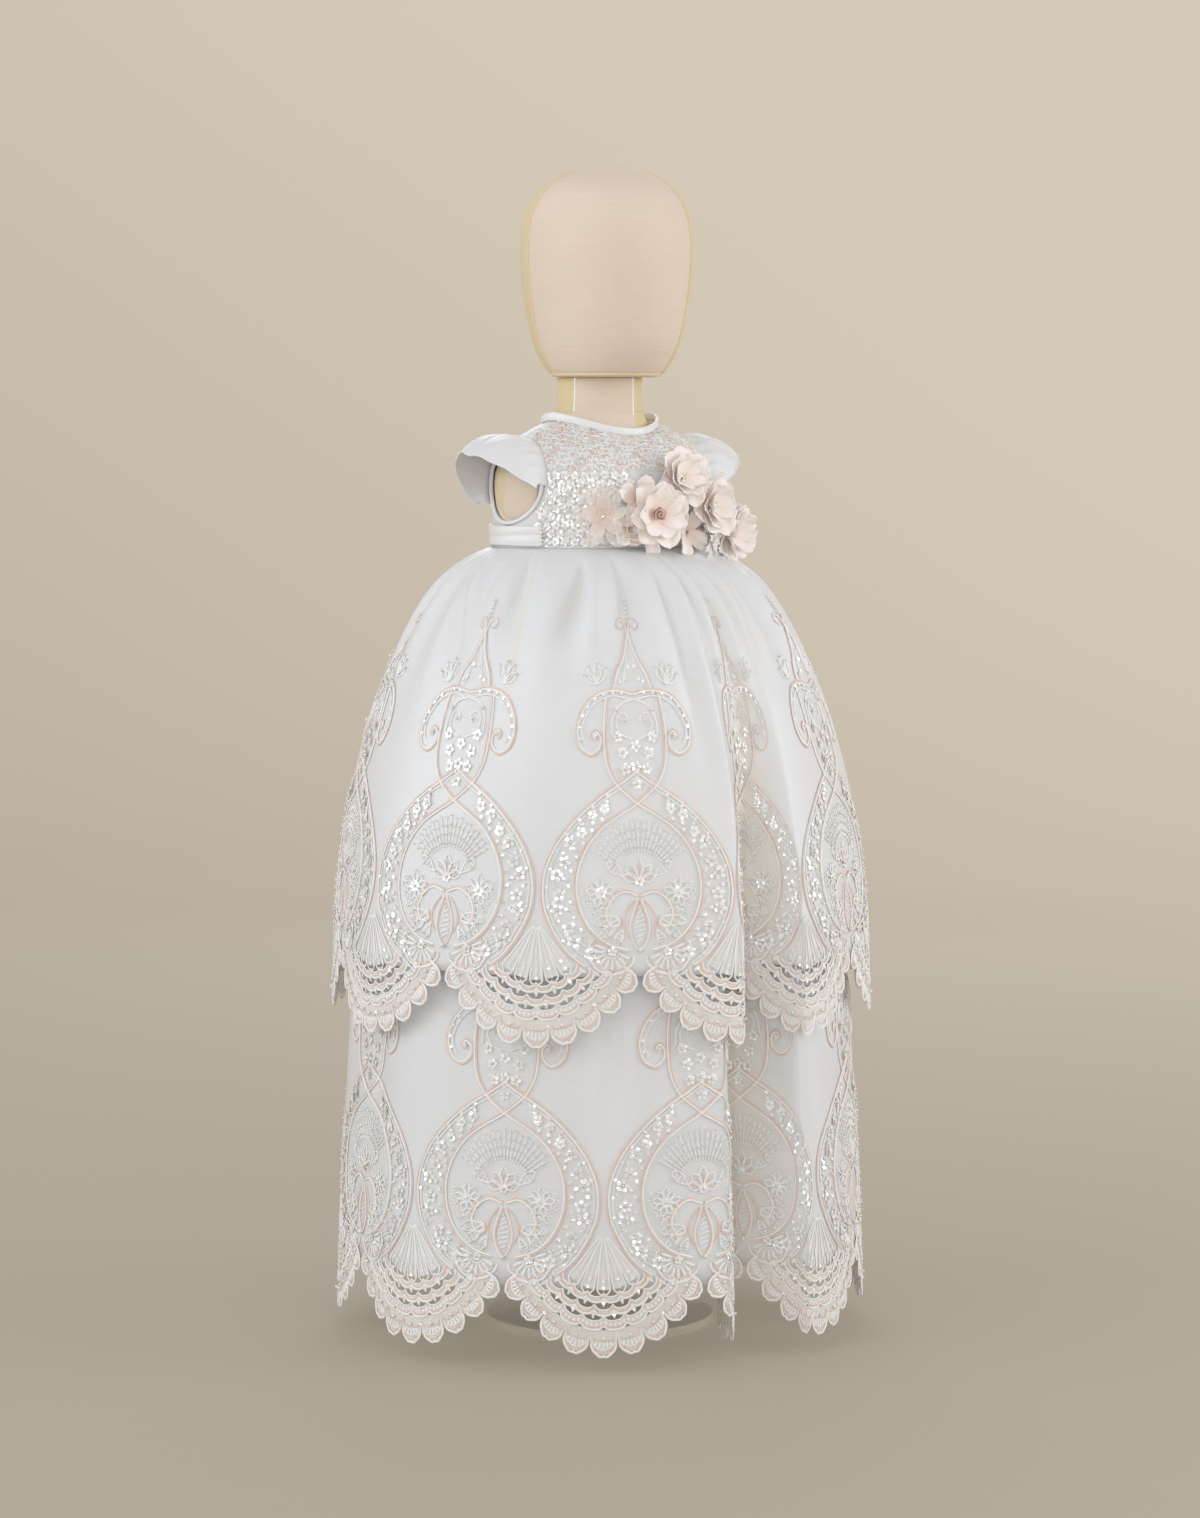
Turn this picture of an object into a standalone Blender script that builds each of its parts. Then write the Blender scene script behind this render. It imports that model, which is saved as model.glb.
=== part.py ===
"""A baby's christening gown with two lace-edged skirts, on its limbless dress form.

Metres, +Z up. The origin is the middle of the stand's underside and the gown faces -Y.
"""

import math
from collections import namedtuple

import bmesh
import bpy
import numpy as np

MM = 0.001
TURN = 2 * math.pi

# Seams, cloth and lace
SEAM_GAP = 0.3 * MM
CLOTH = 1.2 * MM
LACE = 1.1 * MM

# Front of the gown, as an angle from +X
FRONT = math.radians(-90)

# Each skirt is edged with this many repeats of the lace
REPEATS = 9
HIDDEN_SPLIT = 5.5
BACK_SPLIT_GAP = 0.002
FOLD_SPLIT_GAP = 0.015
GATHERS = 24

Ring = namedtuple("Ring", "height half_width half_depth")
Level = namedtuple("Level", "height rise half_width half_depth")
Fold = namedtuple("Fold", "first last from_deg to_deg depth")
Skirt = namedtuple("Skirt", "rings fold top hem tip lace_gap gather wave phase columns fold_columns rows")
LaceRow = namedtuple("LaceRow", "across height")
Bloom = namedtuple("Bloom", "name side height seat stand_off radius petals tilt")

# The bodice from the waist seam to the neck seam. The rise lifts the shoulders at the sides.
BODICE = (
    Level(624.6, 0, 90.5, 70.0),
    Level(650.0, 0, 92.0, 71.0),
    Level(672.0, 0, 93.5, 71.5),
    Level(688.0, 0, 92.0, 68.0),
    Level(699.0, 2, 84.0, 60.0),
    Level(705.5, 6, 70.0, 51.0),
    Level(708.5, 10, 57.0, 45.5),
    Level(710.0, 12, 48.0, 42.5),
)

# The form's torso from its underside to the neck
TORSO = (
    Level(560.0, 0, 62.0, 52.0),
    Level(566.0, 0, 74.0, 60.0),
    Level(585.0, 0, 85.0, 65.0),
    Level(624.0, 0, 87.6, 67.2),
    Level(650.0, 0, 89.2, 68.4),
    Level(672.0, 0, 90.8, 69.0),
    Level(686.0, 0, 89.2, 65.4),
    Level(696.0, 1, 81.0, 57.0),
    Level(702.0, 4, 67.0, 48.6),
    Level(706.0, 7, 53.0, 42.6),
    Level(710.0, 5, 40.0, 39.0),
)

HEAD = (
    Ring(757.0, 35.0, 40.0),
    Ring(759.5, 41.0, 49.0),
    Ring(768.0, 47.0, 57.0),
    Ring(785.0, 53.5, 66.5),
    Ring(810.0, 58.5, 73.0),
    Ring(838.0, 61.5, 77.0),
    Ring(860.0, 62.0, 78.0),
    Ring(882.0, 59.5, 74.5),
    Ring(900.0, 51.5, 64.5),
    Ring(912.0, 39.0, 49.5),
    Ring(919.0, 24.0, 31.0),
    Ring(921.5, 10.0, 13.0),
)
HEAD_FORWARD = 9 * MM
HEAD_COLUMNS = 20
TORSO_COLUMNS = 22
ROUND_COLUMNS = 16

NECK = (
    Level(710.3, 5, 37.0, 36.5),
    Level(728.0, 0, 34.0, 35.0),
    Level(756.7, 0, 33.0, 35.0),
)

OVERSKIRT_RINGS = (
    Ring(624.2, 91.6, 71.6),
    Ring(618.0, 104.0, 88.0),
    Ring(604.0, 121.0, 114.0),
    Ring(585.0, 137.0, 134.0),
    Ring(562.0, 151.5, 150.0),
    Ring(522.0, 170.5, 170.0),
    Ring(475.0, 187.0, 187.0),
    Ring(421.0, 200.0, 200.0),
    Ring(373.0, 207.0, 207.0),
    Ring(331.0, 211.0, 211.0),
    Ring(296.0, 212.0, 212.0),
    Ring(246.0, 213.0, 213.0),
)
UNDERSKIRT_RINGS = (
    Ring(624.2, 89.5, 69.1),
    Ring(600.0, 106.0, 93.0),
    Ring(566.0, 134.0, 129.0),
    Ring(500.0, 164.0, 163.0),
    Ring(420.0, 182.0, 182.0),
    Ring(330.0, 193.0, 193.0),
    Ring(259.0, 198.5, 198.5),
    Ring(150.0, 204.5, 204.5),
    Ring(62.0, 208.5, 208.5),
    Ring(8.0, 209.5, 209.5),
)

OVERSKIRT = Skirt(
    rings=OVERSKIRT_RINGS,
    fold=Fold(0.0, 1.0, -98.2, -79.8, 46.0),
    top=624.2,
    hem=305.0,
    tip=246.0,
    lace_gap=1.7,
    gather=4.0,
    wave=3.0,
    phase=0.6,
    columns=84,
    fold_columns=14,
    rows=(624.2, 603.0, 573.0, 523.0, 452.0, 378.0, 305.0),
)
UNDERSKIRT = Skirt(
    rings=UNDERSKIRT_RINGS,
    fold=Fold(-0.38, 0.92, -100.0, -77.0, 62.0),
    top=624.2,
    hem=66.0,
    tip=9.0,
    lace_gap=2.4,
    gather=1.5,
    wave=3.0,
    phase=2.4,
    columns=54,
    fold_columns=20,
    rows=(624.2, 575.0, 440.0, 259.0, 150.0, 66.0),
)

# The fan and its two half medallions, from the fan's axis out to a medallion's axis.
# Heights are above the fan's tip, and across is a share of half a repeat.
FAN_HEM = LaceRow((0.0, 0.36, 0.70, 1.0), (4, 9, 28, 55))
FAN_ROWS = (
    LaceRow((0.0, 0.34, 0.67, 1.0), (24, 29, 45, 61)),
    LaceRow((0.0, 0.28, 0.60, 1.0), (50, 53, 60, 66)),
    LaceRow((0.0, 0.17, 0.45, 1.0), (96, 87, 75, 72)),
    LaceRow((0.0, 0.33, 0.67, 1.0), (134, 138, 136, 132)),
    LaceRow((0.0, 0.33, 0.67, 1.0), (143, 180, 199, 208)),
)
LOBE_OUT = 5.0
STICK_ROW = 1
ARCADE_ROW = 0
PIERCED_COLUMNS = (0, 1)
OPEN_SHARE = 0.22

# The spire over each medallion, as half widths in millimetres
SPIRE = ((240.0, 25.0), (272.0, 24.0), (291.0, 15.0), (318.0, 6.0), (338.0, 1.6))
SPIRE_UNDER = 2
ARM = (((24.0, 258.0), (39.0, 260.0), (42.0, 272.0), (24.0, 272.0)),
       ((39.0, 260.0), (41.0, 244.0), (50.0, 250.0), (42.0, 272.0)))

# Caps that close the form at its armholes
ARM_CAP_HALF_WIDTH = 24.0
ARM_CAP_HALF_HEIGHT = 24.5
ARM_CAP_FORWARD = 5.0
ARM_CAP_MIDDLE = 671.0
ARM_CAP_CLEARANCE = 0.9 * MM

# Armholes and flutter sleeves
ARMHOLE_HEIGHT = 674.0
ARMHOLE_HALF_HEIGHT = 33.0
ARMHOLE_HALF_WIDTH = 35.0
ARMHOLE_STEPS = 8
SLEEVE_FROM_DEG = -6.0
SLEEVE_TO_DEG = 212.0
SLEEVE_REACH = 49.0
SLEEVE_HALF_SPAN = 37.5
SLEEVE_ROOT_X = 84.0
SLEEVE_TOP = 697.0
SLEEVE_FRONT_END = 670.0
SLEEVE_BACK_END = 655.0
SLEEVE_GATHERS = 6

BINDING_HEIGHT = 6.5 * MM
BINDING_WALL = 2.0 * MM
SASH_TOP = 641.0
SASH_FOLDS = 2
SASH_FRONT_DEG = 14.0
SASH_CLEARANCE = 2.1 * MM

STAND_RADIUS = 92 * MM
STAND_THICK = 8 * MM
STAND_BEVEL = 2 * MM
POLE_RADIUS = 8 * MM

BUTTONS = 3
BUTTON_RADIUS = 4.6 * MM
BUTTON_THICK = 3.0 * MM
BUTTON_TOP = 694.0
BUTTON_STEP = 24.0

# The corsage at the waist. Side is millimetres across the front, towards the wearer's left.
# A bloom's stalk starts at its seat, and its petals at its stand off, both from the bodice's face.
BLOOMS = (
    Bloom("corsage_bloom_main", 0, 650, 2.1, 14.0, 27.0, 6, 0),
    Bloom("corsage_bloom_upper", 24, 682, 1.4, 5.0, 24.0, 6, 10),
    Bloom("corsage_bloom_pearl", 44, 655, 2.1, 20.0, 19.0, 5, 20),
    Bloom("corsage_bloom_side", 69, 634, 1.3, 25.0, 22.0, 5, 30),
    Bloom("corsage_rosette", -28, 640, 2.1, 5.0, 15.0, 4, 0),
    Bloom("corsage_petals", -56, 655, 2.1, 4.5, 18.0, 3, -10),
)

BLOOM_COLUMNS = 18
BLOOM_SECTION = ((0.28, -0.5), (1.0, 4.8), (0.93, 6.2), (0.35, 4.0))
BLOOM_STALK = 0.24

COLOURS = {
    "satin": ((0.86, 0.85, 0.82), 0.42),
    "lace": ((0.84, 0.80, 0.76), 0.55),
    "petals": ((0.84, 0.68, 0.60), 0.6),
    "linen": ((0.76, 0.64, 0.52), 0.85),
    "stand": ((0.80, 0.76, 0.70), 0.5),
}


def clear_scene():
    for thing in list(bpy.data.objects):
        bpy.data.objects.remove(thing, do_unlink=True)


def finish(name, points, faces, colour):
    """Puts points and faces into one named object with its own material."""
    mesh = bpy.data.meshes.new(name)
    mesh.from_pydata([tuple(p) for p in points], [], [tuple(f) for f in faces])
    mesh.validate()
    piece = bpy.data.objects.new(name, mesh)
    bpy.context.scene.collection.objects.link(piece)
    tidy = bmesh.new()
    tidy.from_mesh(mesh)
    bmesh.ops.triangulate(tidy, faces=tidy.faces)
    bmesh.ops.recalc_face_normals(tidy, faces=tidy.faces)
    tidy.to_mesh(mesh)
    tidy.free()
    mesh.shade_smooth()
    mesh.set_sharp_from_angle(angle=math.radians(50))
    base, roughness = COLOURS[colour]
    material = bpy.data.materials.new(name + "_finish")
    material.use_nodes = True
    shader = material.node_tree.nodes["Principled BSDF"]
    shader.inputs["Base Color"].default_value = (*base, 1)
    shader.inputs["Roughness"].default_value = roughness
    shader.inputs["Metallic"].default_value = 0.0
    mesh.materials.append(material)
    return piece


def along(keys, values, at):
    """A smooth curve through the table: a cubic between rows, with slopes from each row's neighbours."""
    keys, values = np.asarray(keys, float), np.asarray(values, float)
    if keys[0] > keys[-1]:
        keys, values = keys[::-1], values[::-1]
    at = np.clip(at, keys[0], keys[-1])
    slopes = np.gradient(values, keys)
    i = np.clip(np.searchsorted(keys, at, side="right") - 1, 0, len(keys) - 2)
    step = keys[i + 1] - keys[i]
    t = (at - keys[i]) / step
    return (
        values[i] * (1 + 2 * t) * (1 - t) ** 2
        + slopes[i] * step * t * (1 - t) ** 2
        + values[i + 1] * t * t * (3 - 2 * t)
        + slopes[i + 1] * step * t * t * (t - 1)
    )


def fold_place(fold, turns):
    """The angle of each place along the cloth, and how far the deep fold there draws it in, from 0 to 1."""
    turns = (turns - fold.first) % REPEATS
    span = fold.last - fold.first
    opening = math.radians(fold.to_deg - fold.from_deg)
    start = math.radians(fold.from_deg)
    share = np.clip(turns / span, 0, 1)
    inside = start + opening * (share - 0.03 * np.sin(TURN * share))
    beyond = (turns - span) / (REPEATS - span)
    outside = start + opening + (TURN - opening) * beyond
    angle = np.where(turns < span, inside, outside)
    drawn = np.where(turns < span, np.sin(math.pi * share) ** 2, 0.0)
    return angle, drawn


def skirt_surface(skirt):
    """The skirt's outer face: a dome of rings with waist gathers, soft waves and one deep front fold."""
    heights = [ring.height for ring in skirt.rings]
    widths = [ring.half_width for ring in skirt.rings]
    depths = [ring.half_depth for ring in skirt.rings]

    def surface(turns, height):
        turns, height = np.asarray(turns, float), np.asarray(height, float)
        angle, drawn = fold_place(skirt.fold, turns)
        half_width = along(heights, widths, height)
        half_depth = along(heights, depths, height)
        fall = np.clip((skirt.top - height) / (skirt.top - 262.0), 0, 1)
        loose = fall * fall * (3 - 2 * fall)
        near_waist = np.clip((skirt.top - height) / 28.0, 0.04, 1) * np.exp(-((fall / 0.24) ** 2))
        drift = 0.9 * np.sin(TURN * turns / 3)
        gather = skirt.gather * near_waist * np.cos(TURN * GATHERS * turns / REPEATS + drift)
        wave = skirt.wave * loose * (
            0.65 * np.cos(TURN * turns) + 0.5 * np.sin(TURN * turns * 5 / REPEATS + skirt.phase)
        )
        pull = (gather + (1 - drawn) * wave - skirt.fold.depth * loose * drawn) / half_width
        x = half_width * (1 + pull) * np.cos(angle)
        y = half_depth * (1 + pull) * np.sin(angle)
        return np.stack([x, y, height + 0 * angle], axis=-1) * MM

    return surface


def level_surface(levels):
    """A body's face from its levels: v is 0 at the first level and one more at each next one."""
    table = np.array(levels, float)
    rows = np.arange(len(levels))

    def surface(angle, v):
        angle, v = np.asarray(angle, float), np.asarray(v, float)
        lift = along(rows, table[:, 1], v) * np.cos(angle) ** 2
        z = along(rows, table[:, 0], v) + lift
        x = along(rows, table[:, 2], v) * np.cos(angle)
        y = along(rows, table[:, 3], v) * np.sin(angle)
        return np.stack([x, y, z], axis=-1) * MM

    return surface


def outward(surface, u, v, step_u, step_v):
    """Unit normals of a surface, from the cross product of its two tangents."""
    along_u = surface(u + step_u, v) - surface(u - step_u, v)
    along_v = surface(u, v + step_v) - surface(u, v - step_v)
    normal = np.cross(along_u, along_v)
    return normal / np.linalg.norm(normal, axis=-1, keepdims=True)


def wall(name, flat, faces, surface, inner, outer, colour, steps):
    """A cloth wall: flat faces laid on a surface at two distances, joined round every free edge."""
    u, v = np.asarray(flat, float).T
    base = surface(u, v)
    normal = outward(surface, u, v, *steps)
    count = len(base)
    points = np.concatenate([base + outer * normal, base + inner * normal])
    edges = {}
    for face in faces:
        for a, b in zip(face, face[1:] + face[:1]):
            edges[(a, b)] = edges.get((a, b), 0) + 1
    rims = [(b, a, a + count, b + count) for a, b in edges if (b, a) not in edges]
    under = [tuple(i + count for i in reversed(face)) for face in faces]
    return finish(name, points, list(faces) + under + rims, colour)


def grid_faces(rows, columns, wrap=False):
    """Faces of a grid whose points run along the columns first."""
    across = columns if wrap else columns - 1
    return [
        (r * columns + c, r * columns + (c + 1) % columns,
         (r + 1) * columns + (c + 1) % columns, (r + 1) * columns + c)
        for r in range(rows - 1)
        for c in range(across)
    ]


def solid_of_rings(name, rings, colour):
    """A closed body through rings of points, lowest first, capped at both ends."""
    rows, columns, _ = rings.shape
    points = list(rings.reshape(-1, 3)) + [rings[0].mean(axis=0), rings[-1].mean(axis=0)]
    low, high = rows * columns, rows * columns + 1
    faces = grid_faces(rows, columns, wrap=True)
    top = (rows - 1) * columns
    faces += [(low, (c + 1) % columns, c) for c in range(columns)]
    faces += [(high, top + c, top + (c + 1) % columns) for c in range(columns)]
    return finish(name, points, faces, colour)


def circle(columns):
    return np.arange(columns) * TURN / columns


def make_form():
    angles, v = np.meshgrid(circle(TORSO_COLUMNS), np.arange(len(TORSO)))
    solid_of_rings("form_torso", level_surface(TORSO)(angles, v), "linen")
    angles, v = np.meshgrid(circle(ROUND_COLUMNS), np.arange(len(NECK)))
    solid_of_rings("form_neck", level_surface(NECK)(angles, v), "linen")
    table = np.array(HEAD) * MM
    turn = circle(HEAD_COLUMNS)[None, :]
    rings = np.stack(
        [
            table[:, 1:2] * np.cos(turn),
            table[:, 2:3] * np.sin(turn) - HEAD_FORWARD,
            table[:, 0:1] + 0 * turn,
        ],
        axis=-1,
    )
    solid_of_rings("form_head", rings, "linen")
    for side, name in ((-1, "form_arm_cap_right"), (1, "form_arm_cap_left")):
        make_arm_cap(name, side)


def make_arm_cap(name, side):
    """A low dome that closes the form at the armhole, lying just off the torso's side."""
    shares = np.array([0.25, 0.65, 1.0, 1.0, 0.85, 0.4])
    domes = np.array([0.0, 0.0, 0.0, 1.8, 3.4, 4.6])
    turn = circle(14)[None, :]
    y = (shares[:, None] * ARM_CAP_HALF_WIDTH * np.cos(turn) - ARM_CAP_FORWARD) * MM
    z = (shares[:, None] * ARM_CAP_HALF_HEIGHT * np.sin(turn) + ARM_CAP_MIDDLE) * MM
    rows = np.array([level[0] for level in TORSO]) * MM
    half_width = along(rows, [level[2] * MM for level in TORSO], z)
    half_depth = along(rows, [level[3] * MM for level in TORSO], z)
    x = half_width * np.sqrt(1 - (y / half_depth) ** 2) + ARM_CAP_CLEARANCE + domes[:, None] * MM
    solid_of_rings(name, np.stack([side * x, side * y * side, z], axis=-1), "linen")


def make_stand():
    turn = circle(28)[None, :]
    profile = np.array(
        [
            (0.0, STAND_RADIUS - STAND_BEVEL),
            (STAND_BEVEL, STAND_RADIUS),
            (STAND_THICK - STAND_BEVEL, STAND_RADIUS),
            (STAND_THICK, STAND_RADIUS - STAND_BEVEL),
        ]
    )
    z, r = profile[:, :1], profile[:, 1:]
    rings = np.stack([r * np.cos(turn), r * np.sin(turn), z + 0 * turn], axis=-1)
    solid_of_rings("stand_base", rings, "stand")
    turn = circle(ROUND_COLUMNS)[None, :]
    z = np.array([[STAND_THICK + SEAM_GAP], [TORSO[0].height * MM - SEAM_GAP]])
    rings = np.stack(
        [POLE_RADIUS * np.cos(turn) + 0 * z, POLE_RADIUS * np.sin(turn) + 0 * z, z + 0 * turn], axis=-1
    )
    solid_of_rings("stand_pole", rings, "stand")


def bodice_rows():
    """Rows of the bodice panels, as the v of each row and the armhole's half opening there in millimetres."""
    heights = [level.height for level in BODICE]
    steps = np.linspace(-90, 90, ARMHOLE_STEPS + 1)
    hole = ARMHOLE_HEIGHT + ARMHOLE_HALF_HEIGHT * np.sin(np.radians(steps))
    v_of = along(heights[:5] + [712.0], range(6), hole)
    rows = [(0.0, 0.0)]
    rows += list(zip(v_of, ARMHOLE_HALF_WIDTH * np.cos(np.radians(steps))))
    rows += [(5.8, 0.0), (7.0, 0.0)]
    return rows


def bodice_panel(name, first, last, columns, cut_first, cut_last, inner, outer, colour, top=7.0):
    """A panel between two angles. A cut side follows the armhole, and each side keeps half the seam's gap."""
    places = [row[0] for row in bodice_rows()]
    depth = along(range(len(BODICE)), [level.half_depth for level in BODICE], places)
    flat = []
    seam = 0.5 * SEAM_GAP / (90 * MM)
    for (v, opening), half_depth in zip(bodice_rows(), depth):
        v = min(v, top)
        inset = math.asin(min(opening / half_depth, 0.9))
        start = first + seam + (inset if cut_first else 0)
        end = last - seam - (inset if cut_last else 0)
        flat += [(angle, v) for angle in np.linspace(start, end, columns)]
    faces = grid_faces(len(bodice_rows()), columns)
    return wall(name, flat, faces, level_surface(BODICE), inner, outer, colour, (1e-3, 1e-3))


def make_bodice():
    right, left = math.radians(-180), 0.0
    back = math.radians(90)
    bodice_panel("bodice_front", right, left, 11, True, True, -CLOTH, 0, "satin")
    bodice_panel("bodice_lace", right, left, 11, True, True, SEAM_GAP, SEAM_GAP + LACE, "lace", 6.6)
    bodice_panel("bodice_back_left", left, back, 6, True, False, -CLOTH, 0, "satin")
    bodice_panel("bodice_back_right", back, math.pi, 6, False, True, -CLOTH, 0, "satin")


def ring_band(name, path, across, height, thick, colour):
    """A closed band with a square section, along a loop of points. Across is its unit direction out."""
    corners = ((0, 0), (thick, 0), (thick, height), (0, height))
    columns = len(path)
    up = np.array([0, 0, 1.0])
    points = np.concatenate([path + out * across + rise * up for out, rise in corners])
    faces = []
    for side in range(4):
        for c in range(columns):
            a, b = side * columns + c, side * columns + (c + 1) % columns
            d, e = (side + 1) % 4 * columns + c, (side + 1) % 4 * columns + (c + 1) % columns
            faces.append((a, b, e, d))
    return finish(name, points, faces, colour)


def make_neck_binding():
    angle = circle(28)
    path = level_surface(BODICE)(angle, 7.0 + 0 * angle) + np.array([0, 0, SEAM_GAP + 0.4 * MM])
    across = np.stack([np.cos(angle), np.sin(angle), 0 * angle], axis=-1)
    path = path - across * BINDING_WALL * 0.6
    ring_band("neck_binding", path, across, BINDING_HEIGHT, BINDING_WALL, "satin")


def armhole_curve(degrees, grow, lift):
    """Points round an armhole on the bodice's face at -X, from the front at 0 degrees over the top at 90."""
    turn = np.radians(degrees)
    y = -(ARMHOLE_HALF_WIDTH + grow) * np.cos(turn)
    z = ARMHOLE_HEIGHT + (ARMHOLE_HALF_HEIGHT + grow) * np.sin(turn)
    heights = [level.height for level in BODICE[:5]] + [712.0]
    v = along(heights, range(6), z)
    half_width = along(range(len(BODICE)), [level.half_width for level in BODICE], v)
    half_depth = along(range(len(BODICE)), [level.half_depth for level in BODICE], v)
    x = -(half_width + lift) * np.sqrt(np.clip(1 - (y / half_depth) ** 2, 0, 1))
    return np.stack([x, y, z], axis=-1) * MM


def make_armhole_bindings():
    """A narrow rolled edge just inside each armhole."""
    count = 2 * ARMHOLE_STEPS
    degrees = np.arange(count) * 360 / count
    for side, name in ((-1, "armhole_binding_right"), (1, "armhole_binding_left")):
        loops = []
        for grow, lift in ((-0.6, 1.2), (-0.6, -1.6), (-3.0, -1.6), (-3.0, 1.2)):
            loops.append(armhole_curve(degrees, grow, lift))
        points = np.concatenate(loops) * np.array([-side, 1, 1])
        faces = []
        for ring in range(4):
            for c in range(count):
                a, b = ring * count + c, ring * count + (c + 1) % count
                d, e = (ring + 1) % 4 * count + c, (ring + 1) % 4 * count + (c + 1) % count
                faces.append((a, b, e, d))
        finish(name, points, faces, "satin")


def sleeve_surface(side):
    """A flutter cap between the armhole's seam and a flared rim, arched by a point above its middle."""

    def surface(u, w):
        u, w = np.asarray(u, float), np.asarray(w, float)
        seam = armhole_curve(SLEEVE_FROM_DEG + (SLEEVE_TO_DEG - SLEEVE_FROM_DEG) * u, 1.8, 4.3)
        swing = np.radians(-90 + 180 * u)
        ends = np.where(u < 0.5, SLEEVE_FRONT_END, SLEEVE_BACK_END)
        out = np.clip(np.cos(swing), 0, 1)
        rim = np.stack(
            [
                -(SLEEVE_ROOT_X + 6.0 + (SLEEVE_REACH - 6.0) * out ** 0.9),
                (SLEEVE_HALF_SPAN + 1.5) * np.sin(swing),
                ends + (SLEEVE_TOP - ends) * out ** 1.1,
            ],
            axis=-1,
        ) * MM
        crest = 0.5 * (seam + rim)
        crest[..., 0] -= 3.0 * MM * out
        crest[..., 2] += (4.0 + 13.0 * out) * MM
        w = w[..., None]
        point = (1 - w) ** 2 * seam + 2 * w * (1 - w) * crest + w * w * rim
        ruffle = 1.1 * MM * np.sin(TURN * SLEEVE_GATHERS * u) * w[..., 0] * (1 - 0.5 * w[..., 0])
        point[..., 2] += ruffle * out ** 0.3
        return point * np.array([-side, 1, 1])

    return surface


def make_sleeves():
    columns, rows = 14, 4
    for side, name in ((-1, "sleeve_right"), (1, "sleeve_left")):
        surface = sleeve_surface(side)
        flat = [(u, w) for w in np.linspace(0, 1, rows) for u in np.linspace(0.015, 0.985, columns)]
        wall(name, flat, grid_faces(rows, columns), surface, -0.6 * MM, 0.6 * MM, "satin", (1e-3, 1e-3))


def make_sash():
    """A satin sash in lengthwise folds, from one side of the lace round the back to the other."""
    columns = 17
    first, last = math.radians(-SASH_FRONT_DEG), math.pi + math.radians(SASH_FRONT_DEG)
    steps = 2 * SASH_FOLDS + 1
    heights = np.linspace(BODICE[0].height + 1.0, SASH_TOP, steps)
    surface = level_surface(BODICE)
    v = along([level.height for level in BODICE[:3]], range(3), heights)
    angle = np.linspace(first, last, columns)
    grid_angle, grid_v = np.meshgrid(angle, v)
    base = surface(grid_angle, grid_v)
    normal = outward(surface, grid_angle, grid_v, 1e-3, 1e-3)
    crown = (np.arange(steps) % 2)[:, None, None] * 1.1 * MM
    outer = base + normal * (SASH_CLEARANCE + CLOTH + crown)
    inner = base + normal * SASH_CLEARANCE
    count = steps * columns
    faces = grid_faces(steps, columns)
    edges = {(a, b) for face in faces for a, b in zip(face, face[1:] + face[:1])}
    rims = [(b, a, a + count, b + count) for a, b in edges if (b, a) not in edges]
    under = [tuple(i + count for i in reversed(face)) for face in faces]
    points = np.concatenate([outer.reshape(-1, 3), inner.reshape(-1, 3)])
    finish("waist_sash", points, faces + under + rims, "satin")


def make_buttons():
    """Covered buttons down the left edge of the back opening."""
    surface = level_surface(BODICE)
    heights = [level.height for level in BODICE]
    shares = np.array([0.85, 1.0, 0.6])
    rises = np.array([0.0, 0.4, 1.0]) * BUTTON_THICK
    turn = circle(8)
    for index in range(BUTTONS):
        v = along(heights[:6], range(6), BUTTON_TOP - index * BUTTON_STEP)
        angle = math.radians(90) - 6.0 / 70.0
        seat = surface(angle, v)
        normal = outward(surface, np.array(angle), np.array(v), 1e-3, 1e-3)
        side = np.cross([0, 0, 1.0], normal)
        side /= np.linalg.norm(side)
        up = np.cross(normal, side)
        ring = np.cos(turn)[:, None] * side + np.sin(turn)[:, None] * up
        rings = [
            seat + normal * (SEAM_GAP + rise) + share * BUTTON_RADIUS * ring
            for share, rise in zip(shares, rises)
        ]
        solid_of_rings(f"back_button_{index + 1}", np.array(rings), "satin")


def make_skirt(name, skirt):
    """One gathered tube of satin from the waist seam to the hem behind its lace."""
    fold = skirt.fold
    folded = np.linspace(fold.first, fold.last, skirt.fold_columns, endpoint=False)
    plain = np.linspace(fold.last, fold.first + REPEATS, skirt.columns, endpoint=False)
    turns = np.concatenate([folded, plain])
    rows = skirt.rows[::-1]
    flat = [(turn, height) for height in rows for turn in turns]
    faces = grid_faces(len(rows), len(turns), wrap=True)
    wall(name, flat, faces, skirt_surface(skirt), -CLOTH, 0, "satin", (1e-3, 0.5))


class LacePlan:
    """Flat points and faces of a stretch of edging lace, in repeats along it and millimetres of height."""

    def __init__(self, skirt, first, last):
        self.skirt, self.first, self.last = skirt, first, last
        self.gaps = [FOLD_SPLIT_GAP if in_fold(skirt.fold, end) else BACK_SPLIT_GAP for end in (first, last)]
        self.points, self.faces, self.found = [], [], {}

    def point(self, turn, height):
        """The index of a point, shared with any face that already has it. The ends keep their gaps."""
        turn = min(max(turn, self.first + self.gaps[0]), self.last - self.gaps[1])
        key = (round(turn, 5), round(height, 3))
        if key not in self.found:
            self.found[key] = len(self.points)
            self.points.append((turn, height + self.skirt.tip))
        return self.found[key]

    def cell(self, corners):
        self.faces.append(tuple(self.point(*corner) for corner in corners))

    def pierced(self, corners):
        """A cell with a gap cut in its middle, leaving a bar along each side."""
        corners = [np.array(c, float) for c in corners]
        middle = sum(corners) / 4
        hole = [c + (middle - c) * 2 * OPEN_SHARE for c in corners]
        for i in range(4):
            j = (i + 1) % 4
            self.cell([corners[i], corners[j], hole[j], hole[i]])


def in_fold(fold, turn):
    """Whether a place along the lace lies in the deep front fold."""
    return (turn - fold.first) % REPEATS < fold.last - fold.first


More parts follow.
